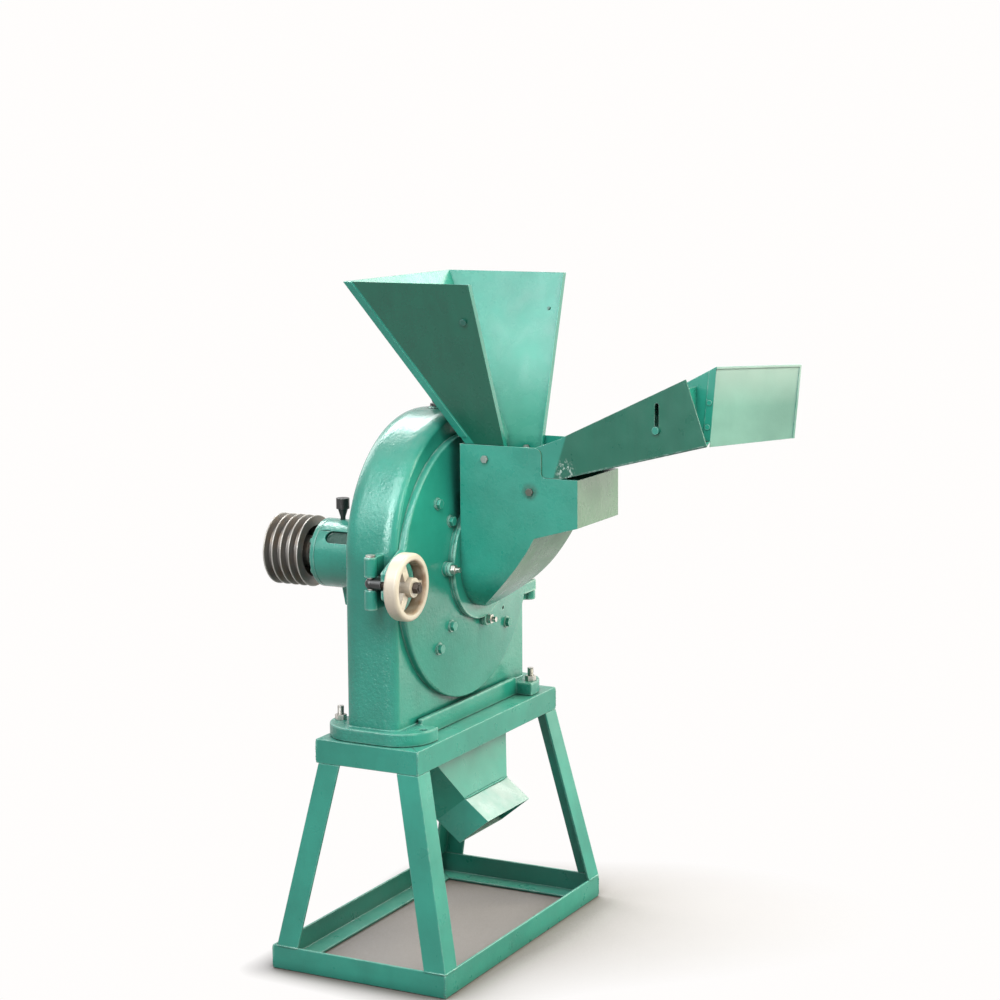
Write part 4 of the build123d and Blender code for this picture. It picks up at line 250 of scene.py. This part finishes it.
def steel(name, colour, rust=0.25, roughness=0.34, thread=None):
    """Bare steel with fine scratches and a little brown staining, and a thread along an axis (X, Y or Z)."""
    r = Recipe(name, metallic=1.0)
    stain = r.between(r.noise(55.0, 6.0, 0.68), 0.50, 0.74, 0.0, rust)
    scratch = r.noise(240.0, 4.0, 0.6, r.stretch(1.0, 1.0, 0.08))
    colour_now = r.mix(r.between(scratch, 0.35, 0.72), shade(colour, 0.62), colour)
    colour_now = r.mix(stain, colour_now, RUST)
    colour_now = r.mix(r.math("MULTIPLY", r.edges(0.0012), 0.5), colour_now, shade(colour, 1.25))
    rough = r.between(r.noise(120.0, 4.0), 0.3, 0.7, roughness - 0.08, roughness + 0.14)
    layers = [(scratch, 0.18, 0.0004), (r.noise(600.0, 2.0), 0.10, 0.0002)]
    if thread is not None:
        turns = r.math("MULTIPLY", r.part(r.place, thread), 2 * math.pi / THREAD_PITCH)
        groove = r.between(r.math("SINE", turns), -1.0, 1.0)
        side_on = r.between(r.math("ABSOLUTE", r.part(r.facing, thread)), 0.6, 0.3)
        dirt = r.math("MULTIPLY", side_on, r.between(groove, 0.5, 0.0))
        colour_now = r.mix(dirt, colour_now, shade(colour, 0.3))
        layers.append((r.math("MULTIPLY", groove, side_on), 0.9, 0.0008))
    r.bump(*layers)
    return r.finish(colour_now, rough)


def turned_iron(name, colour, bright_from, bright):
    """Turned cast iron: rings round the shaft, dull brown-grey with bright outer lands."""
    r = Recipe(name, metallic=0.6)
    radius = r.vector("LENGTH", r.out_from(SHAFT), out="Value")
    along = r.add("ShaderNodeCombineXYZ", {0: r.math("MULTIPLY", radius, 900.0)}).outputs[0]
    rings = r.noise(1.0, 5.0, 0.7, along)
    cuts = r.noise(1.0, 4.0, 0.7, r.stretch(14.0, 1500.0, 14.0))
    blotch = r.noise(30.0, 5.0, 0.65)
    colour_now = r.mix(r.between(cuts, 0.3, 0.72), shade(colour, 0.6), colour)
    colour_now = r.mix(r.between(blotch, 0.46, 0.68, 0.0, 0.6), colour_now, IRON_BLOTCH)
    land = r.between(radius, bright_from - 0.0015, bright_from + 0.0005)
    polish = r.math("MULTIPLY", land, r.between(blotch, 0.70, 0.35, 0.45, 1.0))
    colour_now = r.mix(polish, colour_now, bright)
    rough = r.between(cuts, 0.3, 0.7, 0.34, 0.55)
    r.bump((cuts, 0.25, 0.0004), (rings, 0.20, 0.0004), (r.noise(260.0, 4.0), 0.15, 0.0005))
    return r.finish(colour_now, rough)


TEAL = (0.021, 0.285, 0.216)
# The darkest teal is painted shade, on the hopper's underside and the tray's near outer wall.
PAINTED_SHADE_TEAL = (0.003, 0.126, 0.080)
LIT_WING_TEAL = (0.230, 0.435, 0.360)
BOX_FRONT_REFLECTION = (0.105, 0.232, 0.110)
CREAM = (0.690, 0.600, 0.495)
BLACK = (0.016, 0.016, 0.016)
FELT = (0.020, 0.020, 0.020)
OLD_PAINT = (0.075, 0.085, 0.065)
EDGE_TEAL = (0.010, 0.215, 0.163)
THROAT_HIGHLIGHT_TEAL = (0.220, 0.580, 0.470)
WING_SHEEN_TINT = (0.580, 0.680, 0.620)
CAST_EDGE_WEAR_AND_HIGHLIGHT = (0.360, 0.640, 0.560)
IRON_EDGE_WEAR_AND_HIGHLIGHT = (0.300, 0.560, 0.490)
RUBBED_BOLT = (0.300, 0.370, 0.345)
CHIPPED_PAINT = (0.550, 0.680, 0.630)
SPOUT_REFLECTION = (0.460, 0.480, 0.470)
WINDOW_SHADE_TONE = (0.004, 0.045, 0.031)
BOLT_DIRT = (0.030, 0.060, 0.042)
RIM_INSIDE_TONE = (0.330, 0.205, 0.125)
UNDERCOAT = (0.420, 0.255, 0.155)
BRIGHT_STEEL = (0.620, 0.600, 0.560)
BROWN_STEEL = (0.110, 0.090, 0.080)


hopper_low, hopper_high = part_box("hopper")
BACK_SLOPE = 187.0 / 300.0
LAP = 0.0190
WING_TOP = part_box("tray_wing")[1][Z]


def hopper_painted_shade(r):
    """The outside of the hopper's leaning walls, darkened as painted shade up to the back wall's lap."""
    down = r.between(r.part(r.facing, Z), 0.05, -0.05)
    slant = r.math("MULTIPLY", r.math("SUBTRACT", hopper_high[Z], r.part(r.place, Z)), BACK_SLOPE)
    back = r.math("ADD", r.part(r.place, Y), slant)
    before_lap = r.between(back, hopper_high[Y] - LAP, hopper_high[Y] - LAP - 0.0006)
    return r.math("MULTIPLY", down, before_lap), PAINTED_SHADE_TEAL


def tray_wall_painted_shade(r):
    """The near wall of the tray beyond its fold, darkened as painted shade."""
    near = r.between(r.part(r.place, X), -0.04, -0.06)
    fold = r.math("ADD", r.part(r.place, Y), r.math("MULTIPLY", r.part(r.place, Z), 0.33))
    return r.math("MULTIPLY", near, r.between(fold, 0.022, 0.018)), PAINTED_SHADE_TEAL


def wing_top_sheen(r):
    """The upper part of the wing, paler towards its top edge as a painted sheen."""
    high = r.between(r.part(r.place, Z), WING_TOP - 0.075, WING_TOP - 0.005, 0.0, 0.55)
    return high, WING_SHEEN_TINT


def throat_highlight(r):
    """The inside of the hopper, paler towards its foot as a painted highlight."""
    inside = r.between(r.part(r.facing, Z), 0.05, 0.15)
    low = r.between(r.part(r.place, Z), hopper_high[Z] - 0.06, hopper_low[Z] + 0.08, 0.0, 0.30)
    return r.math("MULTIPLY", inside, low), THROAT_HIGHLIGHT_TEAL


def front_edges(r):
    """The front edges of the hopper's side walls, a little darker than the rest."""
    return r.between(r.part(r.facing, Y), -0.92, -0.97, 0.0, 0.9), EDGE_TEAL


def wing_flange(r):
    """The bent edge of the wing where it is riveted to the tray, in the tray's own paint."""
    square_on = r.math("ABSOLUTE", r.vector("DOT_PRODUCT", r.facing, WING_NORMAL, "Value"))
    return r.between(square_on, 0.93, 0.87), TEAL


def window_floor_shade(r):
    """The floor of the sunk window in the bearing tube, darkened as painted shade."""
    radius = r.vector("LENGTH", r.out_from(SHAFT), out="Value")
    return r.between(radius, TUBE_RADIUS - 0.001, TUBE_RADIUS - 0.003, 0.0, 0.9), WINDOW_SHADE_TONE


def inner_side_shade(r):
    """The faces of the stand's foot that look inwards, darkened as painted shade under the mill."""
    outward = r.vector("DOT_PRODUCT", r.vector("NORMALIZE", r.place), r.facing, "Value")
    inward = r.between(outward, -0.05, -0.30)
    low = r.between(r.part(r.place, Z), 0.30, 0.05, 0.10, 0.62)
    return r.math("MULTIPLY", inward, low), shade(TEAL, 0.30)


def cast_edges_worn_and_highlit(r):
    """The outer edges of the castings, worn bright in patches, with a painted highlight along them."""
    patchy = r.between(r.noise(45.0, 6.0, 0.7), 0.42, 0.58, 0.15, 0.85)
    return r.math("MULTIPLY", r.ridges(0.006), patchy), CAST_EDGE_WEAR_AND_HIGHLIGHT


def iron_edges_worn_and_highlit(r):
    """The outer edges of the angle iron, worn in patches, with a painted highlight along them."""
    patchy = r.between(r.noise(38.0, 6.0, 0.7), 0.46, 0.60, 0.05, 0.70)
    return r.math("MULTIPLY", r.ridges(0.003), patchy), IRON_EDGE_WEAR_AND_HIGHLIGHT


def chipped(r):
    """Paint knocked off the tray's near wall, where it leaves the notch of the feed box."""
    away = r.vector("LENGTH", r.vector("SUBTRACT", r.place, NOTCH), out="Value")
    flakes = r.between(r.noise(170.0, 4.0, 0.6), 0.52, 0.58)
    return r.math("MULTIPLY", flakes, r.between(away, 0.024, 0.010, 0.0, 0.85)), CHIPPED_PAINT


BOX_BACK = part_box("feed_box")[1][Y]


def box_front_reflection(r):
    """The front of the feed box, paler as a painted reflection, without the inside of its back wall."""
    front = r.between(r.part(r.facing, Y), -0.55, -0.75, 0.0, 0.85)
    ahead = r.between(r.part(r.place, Y), BOX_BACK - 0.012, BOX_BACK - 0.016)
    return r.math("MULTIPLY", front, ahead), BOX_FRONT_REFLECTION


def spout_top_reflection(r):
    """The top of the spout, paler in patches as a painted reflection."""
    low = r.between(r.part(r.place, Z), 0.305, 0.295)
    patchy = r.between(r.noise(22.0, 4.0), 0.30, 0.60, 0.20, 0.60)
    level = r.between(r.part(r.facing, Z), 0.4, 0.7)
    return r.math("MULTIPLY", r.math("MULTIPLY", low, level), patchy), SPOUT_REFLECTION


def rim_inside_brown(r):
    """The inside of the handwheel's rim, browner in patches."""
    out = r.vector("NORMALIZE", r.out_from(WHEEL))
    inward = r.between(r.vector("DOT_PRODUCT", out, r.facing, "Value"), -0.15, -0.75)
    thin = r.between(r.noise(50.0, 4.0), 0.35, 0.62, 0.45, 0.95)
    return r.math("MULTIPLY", inward, thin), RIM_INSIDE_TONE


def rim_edges(r):
    """The edges of the handwheel, where the cream is worn down to a brown undercoat."""
    patchy = r.between(r.noise(70.0, 4.0), 0.36, 0.60, 0.15, 0.75)
    return r.math("MULTIPLY", r.edges(0.0035), patchy), UNDERCOAT


bolt_low, bolt_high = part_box("box_bolts")
BOLT_MIDDLE = (bolt_low[Z] + bolt_high[Z]) / 2
BOLT_RADIUS = 0.007


def upper_bolt(r):
    """The upper of the two bolts on each side of the feed box, rubbed paler."""
    upper = r.between(r.part(r.place, Z), BOLT_MIDDLE - 0.005, BOLT_MIDDLE + 0.005, 0.0, 0.8)
    return upper, RUBBED_BOLT


def bolt_stain(r):
    """Rusty dirt on the feed box round the lower bolt on each side."""
    bolt = (0.0, bolt_low[Y] + BOLT_RADIUS, bolt_low[Z] + BOLT_RADIUS)
    across = r.vector("MULTIPLY", r.vector("SUBTRACT", r.place, bolt), FLAT_YZ)
    away = r.vector("LENGTH", across, out="Value")
    patchy = r.between(r.noise(90.0, 4.0), 0.35, 0.65, 0.35, 1.0)
    return r.math("MULTIPLY", patchy, r.between(away, 0.019, 0.009, 0.0, 0.75)), BOLT_DIRT


slots = {
    "stand_paint": enamel(
        "stand_enamel", TEAL, cast=0.25, edge_radius=0.0032, over=[inner_side_shade, iron_edges_worn_and_highlit]
    ),
    "casing_paint": enamel(
        "casing_enamel", TEAL, cast=1.0, gloss=0.17, edge_radius=0.004, over=[cast_edges_worn_and_highlit],
        coarse_below=(0.58, 0.72),
    ),
    "sheet_paint": enamel("sheet_enamel", TEAL, cast=0.12, gloss=0.29),
    "painted_fastener": enamel("bolt_enamel", TEAL, cast=0.5),
    "wheel_paint": enamel(
        "cream_enamel", CREAM, cast=0.3, edge_radius=0.0006, dust=0.0, over=[rim_inside_brown, rim_edges]
    ),
    "black_steel": enamel("black_enamel", BLACK, cast=0.5, gloss=0.34, dust=0.0),
    "seal_felt": enamel("black_seal", FELT, cast=0.9, gloss=0.62, dust=0.0),
    "fastener_steel": steel("bolt_steel", BRIGHT_STEEL),
    "bearing_steel": steel("ground_steel", (0.66, 0.66, 0.66), rust=0.08, roughness=0.24),
    "tooth_steel": steel("tooth_steel", (0.44, 0.44, 0.44), rust=0.3, roughness=0.40),
    "sieve_steel": steel("sieve_steel", (0.60, 0.60, 0.58), rust=0.12, roughness=0.36),
    "rotor_iron": turned_iron("rotor_iron", (0.34, 0.33, 0.32), 0.5, (0.5, 0.5, 0.5)),
    "pulley_iron": turned_iron("pulley_iron", (0.22, 0.205, 0.195), 0.0692, (0.45, 0.425, 0.40)),
}
worn_bolt = enamel("worn_bolt_enamel", OLD_PAINT, cast=0.5, edge_radius=0.002, over=[upper_bolt])
own_materials = {
    "hopper": enamel(
        "hopper_enamel", TEAL, cast=0.2, gloss=0.26, edge_radius=0.0005,
        over=[hopper_painted_shade, throat_highlight, front_edges],
    ),
    "tray": enamel("tray_enamel", TEAL, cast=0.12, gloss=0.30, over=[tray_wall_painted_shade, chipped]),
    # The wing's paler teal is painted light, for the light that falls on its face.
    "tray_wing": enamel("wing_enamel", LIT_WING_TEAL, cast=0.12, gloss=0.36, over=[wing_top_sheen, wing_flange]),
    "feed_box": enamel(
        "box_enamel", TEAL, cast=0.6, gloss=0.27, edge_radius=0.0020, over=[box_front_reflection, bolt_stain]
    ),
    "discharge_chute": enamel("chute_enamel", TEAL, cast=0.12, gloss=0.29, over=[spout_top_reflection]),
    "bearing_housing": enamel("housing_enamel", TEAL, cast=0.8, gloss=0.20, over=[window_floor_shade]),
    "anchor_bolts": steel("stud_steel", BRIGHT_STEEL, thread=Z),
    "clamp_screw": steel("screw_steel", BROWN_STEEL, rust=0.6, roughness=0.5, thread=Y),
    "handwheel_nut": steel("dark_nut_steel", BROWN_STEEL, rust=0.6, roughness=0.5),
    "box_bolts": worn_bolt,
    "gate_bolt": slots["painted_fastener"],
    "hopper_screws": enamel("screw_enamel", shade(TEAL, 0.42), cast=0.5, dust=0.0),
    "tray_rivets": slots["painted_fastener"],
}
for piece in frame["record"]["subparts"]:
    obj = nodes[piece["node"]]
    obj.data.materials.clear()
    obj.data.materials.append(own_materials.get(piece["node"], slots[piece["material_slot"]]))

# Soft edges on the metal, in metres
edge_widths = {
    "casing": 0.0022,
    "door": 0.0016,
    "bearing_housing": 0.0014,
    "rear_cover": 0.0010,
    "inlet_ring": 0.0012,
    "pulley": 0.0006,
    "handwheel": 0.0008,
    "hinge_pins": 0.0002,
}
for name in nodes:
    if "rail" in name or "leg_" in name:
        edge_widths[name] = 0.0013


def soften(obj, width):
    """Rounds the edges of a CAD piece by modifiers, which leave its own mesh as it is."""
    join = obj.modifiers.new("join", "WELD")
    join.merge_threshold = 1e-5
    flat = obj.modifiers.new("flat", "DECIMATE")
    flat.decimate_type = "DISSOLVE"
    flat.angle_limit = math.radians(0.3)
    bevel = obj.modifiers.new("bevel", "BEVEL")
    bevel.width = width
    bevel.segments = 2
    bevel.limit_method = "ANGLE"
    bevel.angle_limit = math.radians(12 if obj.name == "discharge_chute" else 40)
    bevel.use_clamp_overlap = obj.name == "door"
    bevel.miter_outer = "MITER_ARC"
    even = obj.modifiers.new("even", "WEIGHTED_NORMAL")
    even.keep_sharp = False


for name, obj in nodes.items():
    soften(obj, edge_widths.get(name, 0.0004))


# Weld beads, rippled and half sunk into the corners that they fill, in metres and in shares of the radius
BEAD_SIDES = 8
BEAD_STEP = 0.0016
RIPPLE_STEPS = 3
RIPPLE = 0.16
UNEVEN = 0.10
WANDER = 0.12
END_SIZE = 0.35
END_SLOPE = 6
CORNER_BEAD = 0.0021
FOOT_BEAD = 0.0017
FOLD_BEAD = 0.0020
CORNER_INSET = 0.0012
CORNER_END = 0.001


def weld(name, lines, radius, body, slot):
    chance = random.Random(name)
    mesh = bpy.data.meshes.new(name)
    form = bmesh.new()
    for start, end in lines:
        start, end = Vector(start), Vector(end)
        run = end - start
        steps = max(4, round(run.length / BEAD_STEP))
        along = run.normalized()
        across = along.orthogonal().normalized()
        upward = along.cross(across)
        rows = []
        for i in range(steps + 1):
            share = i / steps
            taper = min(1.0, END_SLOPE * share + END_SIZE, END_SLOPE * (1 - share) + END_SIZE)
            ripple = 1 + RIPPLE * math.sin(2 * math.pi * i / RIPPLE_STEPS) + chance.uniform(-UNEVEN, UNEVEN)
            wander = Vector([chance.uniform(-WANDER, WANDER) * radius for _ in range(3)])
            centre = start + run * share + wander
            size = radius * ripple * taper
            ring = []
            for k in range(BEAD_SIDES):
                angle = 2 * math.pi * k / BEAD_SIDES
                out = math.cos(angle) * across + math.sin(angle) * upward
                ring.append(form.verts.new(centre + size * out))
            rows.append(ring)
        for low, high in zip(rows, rows[1:]):
            for k in range(BEAD_SIDES):
                after = (k + 1) % BEAD_SIDES
                form.faces.new((low[k], low[after], high[after], high[k]))
        form.faces.new(rows[0][::-1])
        form.faces.new(rows[-1])
    for face in form.faces:
        face.smooth = True
    form.to_mesh(mesh)
    form.free()
    bead = bpy.data.objects.new(name, mesh)
    scene.collection.objects.link(bead)
    mesh.materials.append(slots[slot])
    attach(bead, body)


corner_lines = []
for level in ("base", "top"):
    low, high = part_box(level + "_rail_front")
    back_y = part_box(level + "_rail_back")[1][Y]
    for x in (low[0], high[0]):
        for y in (low[1], back_y):
            inner_x = x - math.copysign(CORNER_INSET, x)
            inner_y = y - math.copysign(CORNER_INSET, y)
            foot_end = (inner_x, inner_y, low[Z] + CORNER_END)
            head_end = (inner_x, inner_y, high[Z] - CORNER_END)
            corner_lines.append((foot_end, head_end))
foot_lines = []
LEG_WIDTH = 0.045
for side_y in ("front", "back"):
    for side_x in ("left", "right"):
        low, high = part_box("leg_" + side_y + "_" + side_x)
        x = low[0] if side_x == "left" else high[0]
        y = low[1] if side_y == "front" else high[1]
        z = low[2]
        inner_x = x - math.copysign(LEG_WIDTH, x)
        inner_y = y - math.copysign(LEG_WIDTH, y)
        foot_lines.append(((x, y, z), (inner_x, y, z)))
        foot_lines.append(((x, y, z), (x, inner_y, z)))
FOLD_HALF, FOLD_Y, FOLD_Z = 0.085, -0.0997, 0.3008
fold_line = [((-FOLD_HALF, FOLD_Y, FOLD_Z), (FOLD_HALF, FOLD_Y, FOLD_Z))]
weld("corner_welds", corner_lines, CORNER_BEAD, "mill", "stand_paint")
weld("foot_welds", foot_lines, FOOT_BEAD, "mill", "stand_paint")
weld("fold_weld", fold_line, FOLD_BEAD, "mill", "sheet_paint")

# Floor, which keeps the lamps' shadows near the mill, has a painted shadow where the mill hangs over it, and
# is white further off
FLOOR_HALF = 14.0
SHADOW_SIDE = (0.46, -0.89, 0.0)
OPEN_TONES = (0.45, 0.425, 0.44), (0.47, 0.445, 0.46)
SHADE_TONE = (0.120, 0.098, 0.086)
BOUNCE_TONE = (0.26, 0.25, 0.24, 1.0)
floor_corners = [(x * FLOOR_HALF, y * FLOOR_HALF, 0) for x, y in ((-1, -1), (1, -1), (1, 1), (-1, 1))]
floor_mesh = bpy.data.meshes.new("floor")
floor_mesh.from_pydata(floor_corners, [], [(0, 1, 2, 3)])
floor = bpy.data.objects.new("floor", floor_mesh)
floor.location.z = -0.0005
scene.collection.objects.link(floor)
ground = Recipe("pale_floor", roughness=0.7)
foot_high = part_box("base_rail_front")[1]
foot = (foot_high[0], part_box("base_rail_back")[1][1], 0.0)
beyond = ground.vector("SUBTRACT", ground.vector("ABSOLUTE", ground.place), foot)
beyond = ground.vector("MULTIPLY", ground.vector("MAXIMUM", beyond), FLAT_XY)
gap = ground.vector("LENGTH", beyond, out="Value")
sideways = ground.vector("DOT_PRODUCT", ground.vector("NORMALIZE", ground.place), SHADOW_SIDE, "Value")
reach = ground.math("MULTIPLY", gap, ground.between(sideways, -1.0, 1.0, 4.0, 0.4))
cloudy = ground.between(ground.noise(3.0, 4.0), 0.3, 0.7)
open_tone = ground.mix(cloudy, *OPEN_TONES)
# Painted shadow: the floor's colour darkens where the mill hangs over it.
overhung = ground.add("ShaderNodeAmbientOcclusion", {"Distance": 0.6}, samples=16).outputs["AO"]
tone = ground.mix(ground.between(overhung, 0.48, 0.96), SHADE_TONE, open_tone)
ground.feed(ground.shader.inputs["Base Color"], tone)
white = ground.add("ShaderNodeEmission", {"Color": WHITE, "Strength": 1.0})
grey = ground.add("ShaderNodeBsdfDiffuse", {"Color": BOUNCE_TONE})
path = ground.add("ShaderNodeLightPath")
seen = ground.math("MAXIMUM", path.outputs["Is Camera Ray"], path.outputs["Is Glossy Ray"])
seen = ground.math("MAXIMUM", seen, path.outputs["Is Transmission Ray"])
fade = ground.between(reach, 0.02, 0.24)
far = ground.add("ShaderNodeMixShader", {0: fade, 1: ground.shader.outputs[0], 2: white.outputs[0]})
shown = ground.add("ShaderNodeMixShader", {0: seen, 1: grey.outputs[0], 2: far.outputs[0]})
ground.feed(ground.tree.nodes["Material Output"].inputs["Surface"], shown.outputs[0])
floor_mesh.materials.append(ground.material)

# World: white to the eye and in reflections, softer on the object and brighter from above
world = bpy.data.worlds.new("studio")
world.use_nodes = True
scene.world = world
sky = world.node_tree


def sky_node(kind, values, **settings):
    node = sky.nodes.new(kind)
    for key, value in settings.items():
        setattr(node, key, value)
    for key, value in values.items():
        if isinstance(value, bpy.types.NodeSocket):
            sky.links.new(value, node.inputs[key])
        else:
            node.inputs[key].default_value = value
    return node


sky_path = sky.nodes.new("ShaderNodeLightPath").outputs
sky_seen = sky_node(
    "ShaderNodeMath", {0: sky_path["Is Camera Ray"], 1: sky_path["Is Glossy Ray"]}, operation="MAXIMUM"
)
sky_seen = sky_node(
    "ShaderNodeMath", {0: sky_seen.outputs[0], 1: sky_path["Is Transmission Ray"]}, operation="MAXIMUM"
)
direction = sky.nodes.new("ShaderNodeTexCoord")
height = sky_node("ShaderNodeSeparateXYZ", {0: direction.outputs["Generated"]})
dome = sky_node(
    "ShaderNodeMapRange",
    {"Value": height.outputs["Z"], "From Min": -0.1, "From Max": 0.9, "To Min": 0.10, "To Max": 0.64},
)
strength = sky_node("ShaderNodeMix", {0: sky_seen.outputs[0], 2: dome.outputs[0], 3: 1.0})
shine = sky.nodes["Background"]
shine.inputs["Color"].default_value = WHITE
sky.links.new(strength.outputs[0], shine.inputs["Strength"])

# Lamps: softboxes round the mill. A card only shows in the gloss, and a matte lamp never does
MIDDLE = Vector((0.0, -0.05, 0.75))


def softbox(name, azimuth, elevation, distance, width, height, radiance, colour, card=False, matte=False):
    lamp = bpy.data.lights.new(name, "AREA")
    lamp.shape = "RECTANGLE"
    lamp.size = width
    lamp.size_y = height
    lamp.energy = radiance * math.pi * width * height
    lamp.color = colour
    obj = bpy.data.objects.new(name, lamp)
    scene.collection.objects.link(obj)
    back = towards(math.radians(azimuth), math.radians(elevation))
    obj.matrix_world = Matrix.Translation(MIDDLE + back * distance) @ turned_to(back)
    obj.visible_camera = False
    obj.visible_diffuse = not card
    obj.visible_glossy = not matte


softbox("key", 22, 38, 3.4, 2.2, 2.2, 6.0, (1.0, 0.97, 0.74))
softbox("left", -80, 46, 3.2, 2.2, 1.6, 7.0, (0.93, 0.985, 1.0), matte=True)
softbox("left_card", -103, 46, 3.2, 2.2, 1.6, 7.2, (0.93, 0.985, 1.0), card=True)
softbox("front", -32, 30, 4.0, 1.6, 1.6, 6.0, (1.0, 1.0, 0.85))
softbox("low_front", 8, 4, 3.0, 2.0, 0.8, 1.8, (1.0, 0.98, 0.70))
softbox("right", 84, 31, 3.2, 1.5, 1.2, 6.0, (1.0, 1.0, 0.98))
softbox("back", 165, 32, 3.4, 1.6, 1.6, 4.0, (1.0, 1.0, 1.0))
softbox("veil", 57, 0, 1.9, 1.4, 1.3, 1.5, (1.0, 0.99, 0.86))
softbox("window_card", -99, 22, 3.2, 0.8, 1.7, 16.0, (0.98, 1.0, 1.0), card=True)
softbox("wall_card", -122, 27, 3.2, 1.2, 1.1, 3.0, (0.93, 0.99, 1.0), card=True)
softbox("back_card", 140, 48, 3.0, 1.3, 0.5, 20.0, (0.99, 1.0, 1.0), card=True)
